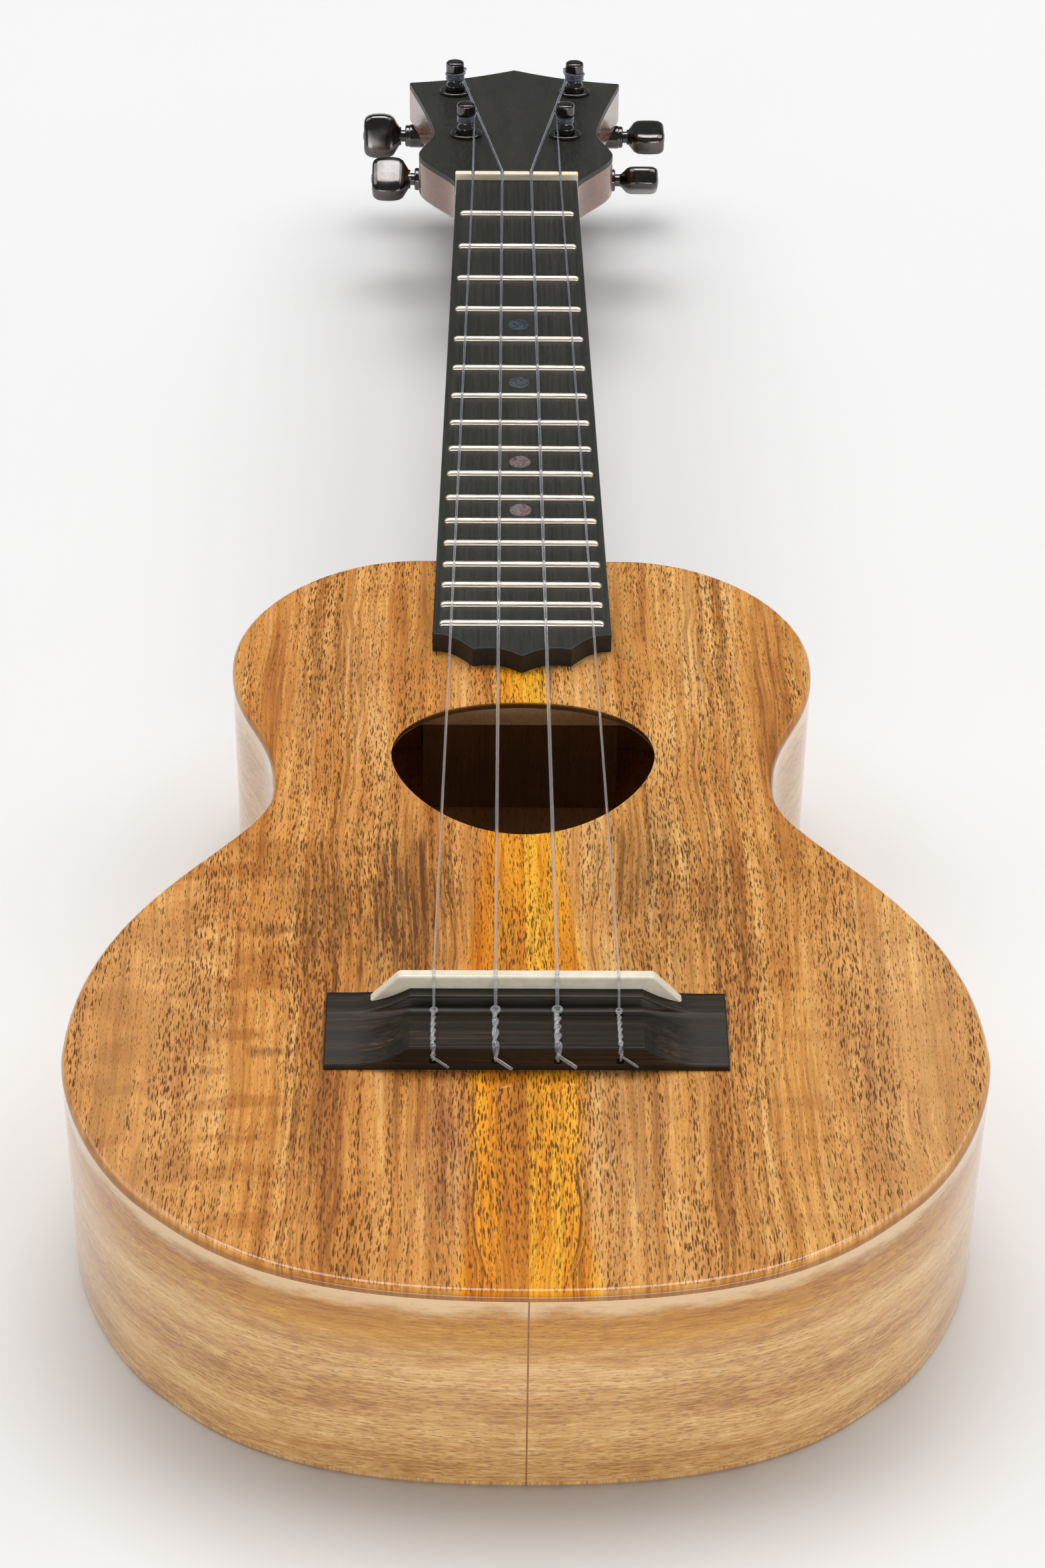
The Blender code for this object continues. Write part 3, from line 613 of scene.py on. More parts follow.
    def bump(self, height, depth_mm, strength):
        """Surface relief whose full height is `depth_mm`."""
        normal = self.add("Bump", {"Height": height, "Strength": strength, "Distance": depth_mm * MM})
        self.tree.links.new(normal, self.shader.inputs["Normal"])

    def finish(self, colour, roughness=None):
        """Link the colour, and the roughness where it varies, and return the material."""
        self.tree.links.new(colour, self.shader.inputs["Base Color"])
        if roughness is not None:
            self.tree.links.new(roughness, self.shader.inputs["Roughness"])
        return self.material


def grain_place(paint, across, along, wander, layer=0.0):
    """The place across the grain, whose lines wander by up to `wander` millimetres."""
    drift = paint.streaks(across, along, 0.012, 0.011, layer)
    return paint.plus(across, paint.swing(drift, 2 * wander))


# Dark and reddish patches of the top: centre, half sizes, strength, colour
DUSKY = (0.118, 0.042, 0.010)
RUSSET = (0.360, 0.125, 0.050)
PATCHES = [
    ((-28.0, -166.0), (12.0, 34.0), 0.62, DUSKY),
    ((27.0, -150.0), (11.0, 26.0), 0.42, DUSKY),
    ((-47.0, -168.0), (10.0, 26.0), 0.36, DUSKY),
    ((44.0, -165.0), (7.0, 26.0), 0.22, DUSKY),
    ((-59.0, -176.5), (10.0, 2.4), 0.55, DUSKY),
    ((-58.5, -219.5), (8.0, 2.2), 0.50, DUSKY),
    ((-48.0, -240.0), (6.0, 30.0), 0.30, DUSKY),
    ((-19.0, -250.0), (7.0, 36.0), 0.55, RUSSET),
    ((-73.0, -205.0), (8.0, 14.0), 0.16, RUSSET),
    ((24.0, -240.0), (9.0, 40.0), 0.34, RUSSET),
    ((-50.0, -76.0), (24.0, 34.0), 0.22, RUSSET),
    ((-30.0, -190.0), (13.0, 60.0), 0.22, DUSKY),
    ((31.0, -185.0), (13.0, 60.0), 0.16, DUSKY),
]
# Half widths of the amber stripe, and of the dark lines that border it, from the tail to the neck
AMBER_HALF = [
    (-292.0, 15.5), (-280.0, 13.0), (-268.0, 11.5), (-229.0, 12.2),
    (-188.0, 13.5), (-150.0, 9.5), (-60.0, 6.2),
]
BORDER_HALF = [
    (-292.0, 10.5), (-265.0, 11.3), (-229.0, 12.8), (-188.0, 17.4),
    (-140.0, 19.0), (-86.0, 7.0), (-60.0, 7.0),
]
PALE_LACQUER = {"Coat_Weight": 0.9, "Coat_Roughness": 0.06, "Specular_IOR_Level": 0.3}


def top_boards(paint, x, y, half, across, board):
    """The boards' colour before any special figure, with the tone and the fine streaks behind it."""
    broad = paint.streaks(across, y, 0.075, 0.005, board, 3.0, 0.55)
    middle = paint.streaks(across, y, 0.36, 0.014, board, 3.0, 0.6)
    fine = paint.streaks(across, y, 1.5, 0.035, board, 3.0, 0.6)
    tone = paint.weighted((broad, 0.42), (middle, 0.34), (fine, 0.24))
    wood = paint.ramp(tone, [
        (0.38, (0.350, 0.122, 0.024)),
        (0.43, (0.540, 0.218, 0.045)),
        (0.49, (0.710, 0.328, 0.080)),
        (0.55, (0.840, 0.438, 0.130)),
        (0.61, (0.950, 0.565, 0.220)),
    ])
    warmth = paint.streaks(across, y, 0.045, 0.022, 5.0, 3.0, 0.6)
    wood = paint.mix(paint.span(warmth, 0.46, 0.66, 0.0, 0.42), wood, (0.600, 0.235, 0.042))

    # ripples across the grain, strongest towards the edge of the left lower bout
    ripple = paint.noise(paint.stretched(across, y, 0.040, 0.105, 2.0), distortion=0.4)
    lower_edge = paint.times(paint.span(half, 44.0, 66.0), paint.span(y, -120.0, -150.0))
    rippled = paint.plus(paint.times(lower_edge, paint.span(x, 5.0, -5.0, 0.16, 0.60)), 0.20)
    rippled = paint.times(paint.span(ripple, 0.44, 0.58), rippled)
    wood = paint.mix(rippled, wood, (0.70, 0.58, 0.44), "MULTIPLY")

    # the outer parts of the lower bout are blonder
    outer = paint.times(paint.span(half, 62.0, 88.0), paint.span(y, -150.0, -185.0))
    return paint.mix(paint.times(outer, 0.34), wood, (0.860, 0.530, 0.235)), tone, fine


def top_patches(paint, wood, x, y, across):
    """Dark and reddish patches with ragged edges, drawn out along the grain."""
    ragged = paint.swing(paint.streaks(across, y, 0.50, 0.035, 9.0, 4.0, 0.65), 3.2)
    streak = paint.streaks(across, y, 0.85, 0.018, 11.0, 3.0, 0.6)
    streak = paint.span(streak, 0.40, 0.60, 0.45, 1.45)
    for centre, sizes, strength, colour in PATCHES:
        patch = paint.times(paint.blot(x, y, centre, sizes, ragged), streak)
        wood = paint.mix(paint.times(patch, strength), wood, colour)
    return wood


def top_stripe(paint, wood, tone, x, y, near):
    """The amber stripe along the centre joint, and how far inside it a place is."""
    amber = paint.ramp(tone, [
        (0.37, (0.460, 0.125, 0.003)),
        (0.43, (0.730, 0.245, 0.007)),
        (0.50, (0.930, 0.370, 0.015)),
        (0.59, (0.990, 0.510, 0.036)),
    ])
    heart = paint.times(paint.span(x, 0.3, -0.2), paint.span(x, -8.0, -5.0))
    heart = paint.times(heart, paint.span(y, -140.0, -200.0))
    amber = paint.mix(paint.times(heart, 0.62), amber, (0.560, 0.200, 0.024))
    inside = paint.math("SUBTRACT", near, paint.course(y, AMBER_HALF))
    inside = paint.span(inside, 2.0, -1.6)
    return paint.mix(inside, wood, amber), inside


def top_lines(paint, wood, y, half, across, near, inside):
    """Dark lines, crowded at the stripe's borders and in a band further out."""
    sway = paint.streaks(across, y, 0.055, 0.030, 7.0)
    swaying = paint.plus(across, paint.swing(sway, 9.0))
    lines = paint.streaks(swaying, y, 1.0, 0.010, 4.0, 2.0, 0.55)
    border = paint.math("ABSOLUTE", paint.math("SUBTRACT", near, paint.course(y, BORDER_HALF)))
    outer_band = paint.times(paint.span(half, 36.0, 44.0), paint.span(half, 62.0, 52.0))
    crowded = paint.most(
        paint.span(border, 2.6, 0.3), paint.times(outer_band, 0.45), paint.times(inside, 0.32), 0.21
    )
    ink = paint.times(paint.span(lines, 0.47, 0.58), paint.times(crowded, 0.86))
    return paint.mix(ink, wood, (0.120, 0.042, 0.009))


def top_vessels(paint, wood, side, y, z, across):
    """Vessels, crowded along some of the lines of grain, and where they are."""
    shifted = paint.plus(y, paint.times(side, 61.0))
    crowd = paint.streaks(across, y, 0.07, 0.014, 3.0, 3.0)
    rows = paint.streaks(across, y, 0.75, 0.011, 6.0)
    crowd = paint.weighted((crowd, 0.5), (rows, 0.5))
    cover = paint.span(crowd, 0.39, 0.58, 0.095, 0.250)
    vessel = paint.pores(across, shifted, 0.92, 6.6, cover)
    for wide, long, layer, weight in ((0.74, 4.7, 40.0, 0.9), (0.61, 3.1, 90.0, 0.7)):
        more = paint.pores(across, shifted, wide, long, cover, layer)
        vessel = paint.most(vessel, paint.times(more, weight))
    vessel = paint.times(vessel, paint.span(z, TOP_Z - 0.5, TOP_Z - 0.05))
    depth = paint.span(crowd, 0.38, 0.58, 0.60, 0.98)
    return paint.mix(paint.times(vessel, depth), wood, (0.118, 0.040, 0.008)), vessel


def figured_top():
    """Golden-brown figured boards, bookmatched on the centre line, with an amber stripe along the joint."""
    paint = Paint("figured_top", Coat_Weight=0.8, Coat_Roughness=0.07, Specular_IOR_Level=0.12)
    _, x, y, z = paint.place()
    half = paint.math("ABSOLUTE", x)
    side = paint.math("SIGN", x)
    board = paint.times(side, 0.16)
    across = grain_place(paint, half, y, 4.5, board)
    wander = paint.plus(across, paint.times(half, -1.0))
    near = paint.plus(half, paint.times(wander, 0.45))

    wood, tone, fine = top_boards(paint, x, y, half, across, board)
    wood = top_patches(paint, wood, x, y, across)
    wood, inside = top_stripe(paint, wood, tone, x, y, near)
    wood = top_lines(paint, wood, y, half, across, near, inside)
    wood, vessel = top_vessels(paint, wood, side, y, z, across)

    # the left board is browner than the right one, and the rolled edge is darker than either
    wood = paint.mix(paint.span(x, 0.2, -0.2, 0.25, 0.90), wood, (0.985, 0.890, 0.770), "MULTIPLY")
    rolled_edge = paint.span(z, TOP_Z - 0.45, TOP_Z - 1.4)
    wood = paint.mix(paint.times(rolled_edge, 0.62), wood, (0.250, 0.092, 0.024))
    # painted shade: on top of the rolled edge's own darker tone, the rim round the soundhole is darkened
    # almost to black, where the hole's inside lies in shade
    hole_rim_shade = paint.blot(x, y, (0.0, behind_nut(292.0)), (70.0, 60.0), 0.0)
    wood = paint.mix(paint.times(rolled_edge, paint.times(hole_rim_shade, 0.95)), wood, (0.050, 0.016, 0.002))
    paint.bump(paint.math("SUBTRACT", 1.0, vessel), 0.01, 0.20)
    return paint.finish(wood, paint.polish(fine, 0.30, 0.42))


def pale_grain(paint, along, across):
    """Blond hardwood with fine dashes along its grain: its colour and roughness."""
    across = grain_place(paint, across, along, 2.5)
    broad = paint.streaks(across, along, 0.10, 0.010, 0.0, 3.0, 0.55)
    middle = paint.streaks(across, along, 0.55, 0.055, 2.0, 3.0, 0.6)
    fine = paint.streaks(across, along, 1.9, 0.20, 4.0, 3.0, 0.6)
    wood = paint.ramp(paint.weighted((broad, 0.32), (middle, 0.30), (fine, 0.38)), [
        (0.39, (0.480, 0.215, 0.060)),
        (0.45, (0.620, 0.320, 0.100)),
        (0.52, (0.740, 0.420, 0.145)),
        (0.59, (0.870, 0.560, 0.240)),
    ])
    lines = paint.streaks(across, along, 0.45, 0.004, 8.0)
    wood = paint.mix(paint.span(lines, 0.60, 0.70, 0.0, 0.32), wood, (0.390, 0.180, 0.075))
    crowd = paint.streaks(across, along, 0.06, 0.02, 3.0, 3.0)
    cover = paint.span(crowd, 0.38, 0.62, 0.10, 0.23)
    vessel = paint.pores(across, along, 0.95, 6.0, cover)
    small = paint.pores(across, along, 0.70, 3.6, cover, 30.0)
    vessel = paint.most(vessel, paint.times(small, 0.8))
    wood = paint.mix(paint.times(vessel, 0.60), wood, (0.300, 0.125, 0.040))
    paint.bump(paint.math("SUBTRACT", 1.0, vessel), 0.02, 0.25)
    return wood, paint.polish(fine, 0.30, 0.42)


def pale_side():
    """The sides: grain along the rim, an ochre band and a lighter edge under the top."""
    paint = Paint("pale_side", **PALE_LACQUER)
    rim = paint.add("Attribute", {}, output=1, attribute_name="rim")
    along = paint.add("SeparateXYZ", {0: rim})
    height = along.node.outputs[1]
    wood, roughness = pale_grain(paint, along, height)
    wave = paint.streaks(height, along, 0.16, 0.050, 1.0, 5.0, 0.72)
    level = paint.plus(height, paint.swing(wave, 13.0))
    band = paint.times(paint.span(level, 39.0, 49.0), paint.span(along, 130.0, 200.0))
    wood = paint.mix(paint.times(band, 0.95), wood, (0.80, 0.62, 0.15), "MULTIPLY")
    # partly painted highlight: a lighter strip along the top of the sides, where the edge under the top
    # catches the light, over a paler band of the wood
    edge = paint.span(level, 53.0, 58.5)
    wood = paint.mix(paint.times(edge, 0.80), wood, (0.900, 0.640, 0.370))
    return paint.finish(wood, roughness)


def pale_back():
    """The back: the same wood in two boards that meet on the centre line."""
    paint = Paint("pale_back", **PALE_LACQUER)
    _, x, y, _ = paint.place()
    half = paint.math("ABSOLUTE", x)
    wood, roughness = pale_grain(paint, y, half)
    seam = paint.span(half, 0.35, 0.15)
    wood = paint.mix(paint.times(seam, 0.75), wood, (0.150, 0.065, 0.025))
    return paint.finish(wood, roughness)


def plain_wood(name, stops, vessels, along_axis=1, vessel_depth=0.5, streak=1.0, roughness=0.45, **uniform):
    """A straight-grained wood along X (0), Y (1) or Z (2), with vessels of the colour given."""
    paint = Paint(name, **uniform)
    _, *axes = paint.place()
    along = axes.pop(along_axis)
    a, b = axes
    drift = paint.noise(paint.add("CombineXYZ", {0: paint.times(along, 0.02), 1: a, 2: b}), 0.05)
    across = paint.plus(a, paint.times(drift, 5.0))

    def layer(across_rate, along_rate):
        deep = paint.times(b, across_rate)
        return paint.streaks(across, along, across_rate, along_rate, deep, 3.0)

    fine = layer(1.3, 0.03)
    wood = paint.ramp(paint.weighted((layer(0.16 * streak, 0.008), 0.6), (fine, 0.4)), stops)
    cell = paint.stretched(across, along, 1.25, 0.22, paint.times(b, 1.25))
    distance = paint.add("TexVoronoi", {"Vector": cell, "Scale": 1.0})
    vessel = paint.add("MapRange", {0: distance, 1: 0.15, 2: 0.34, 3: 1.0, 4: 0.0})
    wood = paint.mix(paint.times(vessel, vessel_depth), wood, vessels)
    paint.bump(paint.math("SUBTRACT", fine, paint.times(vessel, 0.6)), 0.03, 0.25)
    return paint.finish(wood, paint.polish(fine, roughness - 0.05, roughness + 0.08))


def tones(dark, middle, light):
    return list(zip((0.30, 0.50, 0.72), (dark, middle, light)))


def metal(name, colour, worn, roughness, scale):
    """A metal whose polish varies from place to place."""
    paint = Paint(name, Metallic=1.0)
    cloud = paint.noise(paint.place()[0], scale, detail=4.0, roughness=0.6)
    shade = paint.mix(paint.span(cloud, 0.35, 0.65), colour, worn)
    return paint.finish(shade, paint.polish(cloud, roughness * 0.8, roughness * 1.3))


def bone(name, dark, light, scale, low_rough, high_rough, **uniform):
    """Ivory-coloured composite with faint mottling."""
    paint = Paint(name, **uniform)
    mottle = paint.noise(paint.place()[0], scale, detail=4.0, roughness=0.6)
    colour = paint.mix(paint.span(mottle, 0.3, 0.7), dark, light)
    paint.bump(mottle, 0.01, 0.3)
    return paint.finish(colour, paint.polish(mottle, low_rough, high_rough))


def clear_string():
    """Clear fluorocarbon: a pale, slightly milky rod that shows what lies behind it."""
    paint = Paint("clear_string", Transmission_Weight=0.88, IOR=1.38)
    place, _, y, _ = paint.place()
    cloud = paint.noise(place, 0.8)
    colour = paint.mix(cloud, (0.90, 0.92, 0.95), (0.99, 0.99, 1.00))
    # painted shade: the strings darken from over the soundhole towards the neck, standing for their dimmer
    # look against the dark fretboard
    colour = paint.mix(paint.span(y, -120.0, 60.0), colour, (0.60, 0.64, 0.72))
    return paint.finish(colour, paint.polish(cloud, 0.10, 0.22))


def pearl():
    """Shell inlay: blue-green towards the nut, pinkish towards the body, with a banded lustre."""
    paint = Paint("pearl", Coat_Weight=1.0, Coat_Roughness=0.08, Metallic=0.35)
    place, _, y, _ = paint.place()
    bands = paint.noise(place, 0.55, detail=3.0, distortion=1.6)
    places = (0.30, 0.46, 0.58, 0.72)
    cool = ((0.014, 0.018, 0.035), (0.030, 0.055, 0.085), (0.055, 0.095, 0.110), (0.090, 0.100, 0.140))
    warm = ((0.120, 0.080, 0.085), (0.240, 0.160, 0.150), (0.250, 0.210, 0.210), (0.360, 0.290, 0.240))
    cool, warm = [paint.ramp(bands, list(zip(places, shades))) for shades in (cool, warm)]
    colour = paint.mix(paint.span(y, 70.0, 30.0), cool, warm)
    return paint.finish(colour, paint.polish(bands, 0.22, 0.34))


def floor_paint():
    """Matt white paper, very slightly clouded."""
    paint = Paint("floor", Roughness=0.6)
    cloud = paint.noise(paint.place()[0], 0.01)
    return paint.finish(paint.mix(cloud, (0.86, 0.86, 0.86), (0.88, 0.88, 0.88)))


TOP_WOOD = figured_top()
SIDE_WOOD = pale_side()
BACK_WOOD = pale_back()
INNER_WOOD = plain_wood(
    "inner_wood",
    tones((0.620, 0.390, 0.200), (0.750, 0.500, 0.280), (0.850, 0.600, 0.360)),
    (0.360, 0.200, 0.090), roughness=0.62,
)
BLOCK_WOOD = plain_wood(
    "block_wood",
    tones((0.230, 0.135, 0.060), (0.300, 0.185, 0.085), (0.380, 0.240, 0.120)),
    (0.120, 0.062, 0.026), along_axis=2, roughness=0.62,
)
NECK_WOOD = plain_wood(
    "neck_wood",
    tones((0.110, 0.034, 0.014), (0.200, 0.066, 0.026), (0.300, 0.110, 0.046)),
    (0.040, 0.014, 0.006), roughness=0.32, Coat_Weight=0.8, Coat_Roughness=0.10,
)
EBONY = plain_wood(
    "ebony",
    tones((0.010, 0.010, 0.008), (0.018, 0.018, 0.014), (0.030, 0.028, 0.021)),
    (0.006, 0.006, 0.005), vessel_depth=0.7, roughness=0.42, Specular_IOR_Level=0.36,
)
BRIDGE_WOOD = plain_wood(
    "bridge_wood",
    [(0.34, (0.009, 0.007, 0.004)), (0.50, (0.017, 0.012, 0.007)), (0.60, (0.038, 0.022, 0.011)),
     (0.72, (0.130, 0.070, 0.034))],
    (0.005, 0.003, 0.002), along_axis=0, streak=2.2, roughness=0.42,
    Specular_IOR_Level=0.27,
)
SEAM_WOOD = plain_wood(
    "seam_wood", [(0.30, (0.320, 0.120, 0.048)), (0.72, (0.440, 0.180, 0.080))],
    (0.200, 0.080, 0.034), along_axis=2,
)
FRET_METAL = metal("fret_metal", (1.00, 0.89, 0.74), (0.95, 0.83, 0.68), 0.38, 0.12)
DARK_CHROME = metal("dark_chrome", (0.105, 0.100, 0.098), (0.150, 0.142, 0.138), 0.16, 0.15)
SCREW_METAL = metal("screw_metal", (0.16, 0.15, 0.15), (0.24, 0.23, 0.22), 0.26, 0.30)
BONE = bone(
    "bone", (0.82, 0.74, 0.58), (0.90, 0.83, 0.68), 0.35, 0.30, 0.42, Coat_Weight=0.3, Coat_Roughness=0.15
)
NUT_BONE = bone("nut_bone", (0.92, 0.79, 0.56), (0.97, 0.86, 0.66), 0.3, 0.35, 0.48)
STRING = clear_string()
PEARL = pearl()


# ---------------------------------------------------------------- body


def make_soundboard():
    """The top: edges rolled over to the sides, and a softened rim round the soundhole."""
    plan = closed_plan(body_half())
    hole = closed_plan(outline(HOLE_NODES))
    bm = bmesh.new()
    rims = []
    edges = ((plan, 1, 0.0, TOP_ROUND, 8), (hole, -1, 0.2, HOLE_ROUND, 5))
    for points, way, low_round, high_round, steps in edges:
        levels = rolled(TOP_Z - PLATE, TOP_Z, low_round, high_round, steps)
        rims.append([[bm.verts.new((x, y, z)) for x, y in inset(points, way * by)] for by, z in levels])
        rings_between(bm, rims[-1])
    for level, number in ((-1, 0), (0, 1)):
        loops = []
        for ring in (rim[level] for rim in rims):
            loops += [bm.edges.get((a, b)) for a, b in zip(ring, ring[1:] + ring[:1])]
        made = bmesh.ops.triangle_fill(bm, use_beauty=True, edges=loops)
        for item in made["geom"]:
            if isinstance(item, bmesh.types.BMFace):
                item.material_index = number
    piece("top_plate", bm, [TOP_WOOD, INNER_WOOD], ["soundboard"])


def make_back():
    """The flat back, with its lower edge rounded."""
    bm = slab(closed_plan(body_half()), 0.0, PLATE, 1.6, 0.0)
    for face in bm.faces:
        if min(v.co.z for v in face.verts) > PLATE - 0.01:
            face.material_index = 1
    piece("back_plate", bm, [BACK_WOOD, INNER_WOOD], ["back"])


def make_side(hand, side):
    """One bent side from the neck to the tail, with its grain coordinates stored on its points."""
    outer = body_half()
    inner = [(0.0, outer[0][1] - SIDE)]
    for before, here, after in zip(outer, outer[1:], outer[2:] + outer[-1:]):
        slope = (Vector(after) - Vector(before)).normalized()
        inner.append((here[0] + slope.y * SIDE, here[1] - slope.x * SIDE))
    inner[-1] = (0.0, outer[-1][1] + SIDE)
    tall, levels = TOP_Z - 2 * PLATE, 6
    heights = [PLATE + tall * i / levels for i in range(levels + 1)]
    bm = bmesh.new()
    rim = bm.verts.layers.float_vector.new("rim")
    rings = []
    travelled = 0.0
    for before, (ox, oy), (ix, iy) in zip(outer[:1] + outer, outer, inner):
        travelled += (Vector((ox, oy)) - Vector(before)).length
        ring = []
        for x, y, column in ((ox, oy, heights), (ix, iy, heights[::-1])):
            for z in column:
                vert = bm.verts.new((side * x, y, z))
                vert[rim] = (travelled, z, 0.0)
                ring.append(vert)
        rings.append(ring)
    rings_between(bm, rings)
    bm.faces.new(rings[0][::-1])
    bm.faces.new(rings[-1])
    inner_verts = {v for ring in rings for v in ring[len(heights):]}
    for face in bm.faces:
        if all(v in inner_verts for v in face.verts):
            face.material_index = 1
    piece(f"side_strip_{hand}", bm, [SIDE_WOOD, INNER_WOOD], [f"side_{hand}"])


def make_tail_seam():
    """A thin dark strip between the two sides at the tail, flush with them."""
    half, proud = 0.19, 0.03
    plan = box_plan(-half, half, TOP_LOW.y - proud, TOP_LOW.y + SIDE)
    piece("tail_seam", slab(plan, PLATE, TOP_Z - PLATE, 0.02, 0.02, 2), SEAM_WOOD)


def make_body():
    make_soundboard()
    make_back()
    make_side("left", -1)
    make_side("right", 1)
    make_tail_seam()
    inside = ["neck_block", "tail_block", "upper_brace", "lower_brace", "bridge_patch"]
    inside += ["back_brace_upper", "back_brace_lower"]
    for hand in ("left", "right"):
        inside += [f"top_lining_{hand}", f"back_lining_{hand}", f"fan_brace_{hand}"]
    for name in inside:
        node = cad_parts[name]
        node.data.materials.clear()
        node.data.materials.append(BLOCK_WOOD if name == "neck_block" else INNER_WOOD)


# ---------------------------------------------------------------- neck


def neck_section(distance, depth, across, down):
    """Flat on top under the fretboard, a rounded belly below."""
    half = board_half(max(distance, 0.0))
    steps = 30
    ring = []
    for i in range(steps + 1):
        angle = math.pi * i / steps
        x = half * math.copysign(abs(math.cos(angle)) ** across, math.cos(angle))
        ring.append((x, behind_nut(distance), TOP_Z - depth * math.sin(angle) ** down))
    return ring


def head_plan(start):
    """Closed outline of the headstock on its face, from `start` along the face to the pointed tip."""
    right = [(p.x, p.y) for p in bezier(HEAD_NODES, 14)]
    corner = right[-1]
    crown = sagging(corner, (0.0, HEAD_TIP), CROWN_SAG, 14)[1:]
    right = right[:-1] + soften([right[-2], corner, crown[0]], 0.8)[1:-1]
    half = right + crown + [(0.0, HEAD_TIP)]
    half[0] = (half[0][0], start)
    return half + mirrored(half[:-1])[::-1]


def bored(solid, place):
    """Cut a bushing's hole through the headstock or its plate."""
    bore = turned([(BUSH_R, -HEAD_THICK - 2), (BUSH_R, 2.0)], 32)
    return combine(solid, placed(bore, place), "DIFFERENCE")


def make_neck():
    """The neck from its heel to the headstock in one piece, and the headstock's black plate."""
    neck = loft([neck_section(*row) for row in smooth_row(NECK_SECTIONS, 4)])
    paddle = slab(head_plan(PADDLE_START), -HEAD_THICK, -HEADPLATE, 1.3, 0.0)
    neck = combine(neck, placed(paddle, head_frame()), "UNION")
    plate = slab(head_plan(HEADPLATE_START), -HEADPLATE, 0.0, 0.0, 0.45)
    for _, _, x, along in tuners():
        neck = bored(neck, head_frame(x, along))
        plate = bored(plate, Matrix.Translation((x, along, 0.0)))
    # the cuts leave a few slivers behind
    bmesh.ops.dissolve_degenerate(neck, dist=0.02, edges=neck.edges[:])
    piece("neck_and_heel", neck, NECK_WOOD, ["neck"], sharp=32.0)
    piece("head_veneer", plate, EBONY, ["headplate"], place=head_frame())


def board_plan():
    """The fretboard's outline, with its scalloped end over the soundboard."""
    corner = (board_half(BOARD_CORNER_AT), BOARD_CORNER_AT)
    points = sagging((0.0, BOARD_TIP_AT), BOARD_CUSP, SCALLOP_SAG, 12)
    points += sagging(BOARD_CUSP, corner, SCALLOP_SAG, 12) + [corner, (board_half(0.0), 0.0)]
    half = [(x, behind_nut(at)) for x, at in points]
    return half + mirrored(half[1:])[::-1]


def make_fretboard():
    """The fretboard and the dots let into it."""
    board = slab(board_plan(), TOP_Z, BOARD_Z, 0.0, 0.35, 4)
    piece("finger_board", board, EBONY, ["fretboard"])
    for number in DOTS_BEFORE:
        at = (fret_distance(number) + fret_distance(number - 1)) / 2
        dot = turned([(DOT_R, -0.8), (DOT_R, -0.01), (DOT_R - 0.05, 0.03)], 48)
        place = Matrix.Translation((0.0, behind_nut(at), BOARD_Z))
        piece(f"dot_{number:02d}", dot, PEARL, place=place)


def make_fret(number):
    """A crowned wire with ends rounded down to the board."""
    node = f"fret_{number:02d}"
    low, high = corners(node)
    middle = (low.y + high.y) / 2
    wide, tall = (high.y - low.y) / 2, high.z - BOARD_Z
    steps, arc = 8, 14
    half = [(high.x, 0.04)]
    for i in range(1, steps + 1):
        turn = math.pi / 2 * i / steps
        half.append((high.x - FRET_END * (1 - math.cos(turn)), math.sin(turn)))
    sections = []
    for x, share in mirrored(half) + half[::-1]:
        ring = [(x, middle + way * wide * 0.98, BOARD_Z - 0.15) for way in (1, -1)]
        for i in range(arc + 1):
            turn = math.pi * i / arc
            y = middle - wide * math.cos(turn) * (0.55 + 0.45 * share)
            ring.append((x, y, BOARD_Z + tall * share * math.sin(turn)))
        sections.append(ring)
    piece(f"fret_wire_{number:02d}", loft(sections), FRET_METAL, [node], flat=False)


def nut_x(place):
    return NUT_SPACING * (place - 1.5)


def saddle_x(place):
    return SADDLE_SPACING * (place - 1.5)


def in_groove(x, z, slope):
    """The height z of the nut's top, lowered where a string's groove runs."""
    floor = NUT_SLOT_Z - NUT_FALL * max(slope, 0.0)
    for place, radius in STRINGS.values():
        off, reach = abs(x - nut_x(place)), radius + GROOVE_PLAY
        if off < reach * 1.5 and z > TOP_Z + 1:
            groove = floor + radius - math.sqrt(max(reach**2 - off**2, 0.0))
            z = min(z, groove + max(off - reach * 0.9, 0.0) * 4)
    return z


def make_nut():
    """The nut: its top slopes back to the headstock and has a rounded groove for each string."""
    front, back = NUT_LOW.y, NUT_HIGH.y
    centre = (front + back) / 2
    half, top = NUT_HIGH.x, NUT_HIGH.z
    profile = [(front, TOP_Z), (front, top - 0.1), (front + 1.6, top), (back, top - 1.6), (back, TOP_Z)]
    profile = soften(profile, 0.6, 5)
    stations = {way * (half - by) for way in (-1, 1) for by in (0.0, 0.08, NUT_ROUND)}
    for place, radius in STRINGS.values():
        stations |= {nut_x(place) + (radius + GROOVE_PLAY) * i / 6 for i in range(-9, 10)}
    sections = []
    for x in sorted(stations):
        rounding = max(0.0, NUT_ROUND - (half - abs(x)))
        ring = []
        for y, z in profile:
            z = in_groove(x, z, (y - front) / (back - front))
            if z > TOP_Z + 1:
                z -= rounding * 0.8
            ring.append((x, centre + (y - centre) * (1 - rounding * 0.12), z))
        sections.append(ring)
    piece("nut_bar", loft(sections), NUT_BONE, ["nut"], sharp=50.0)


# ---------------------------------------------------------------- bridge, saddle, strings


PROFILE_ROWS = soften(BRIDGE_PROFILE, 0.55)
POST_PROFILE = soften(
    [
        (POST_R, -9.0), (POST_R, 3.0), (WAIST_R, 4.2), (WAIST_R, 6.4), (POST_R, 7.5),
        (POST_R, POST_TALL - 0.5), (POST_R - 0.55, POST_TALL), (0.6, POST_TALL + 0.05),
    ],
    0.5, 3,
)


def profile_at(back):
    """Heights of the bridge's middle and wings, at a distance back from its front edge."""
    for (b0, m0, w0), (b1, m1, w1) in zip(PROFILE_ROWS, PROFILE_ROWS[1:]):
        if back <= b1:
            t = (back - b0) / max(b1 - b0, 1e-6)
            return m0 + (m1 - m0) * t, w0 + (w1 - w0) * t
    return PROFILE_ROWS[-1][1:]


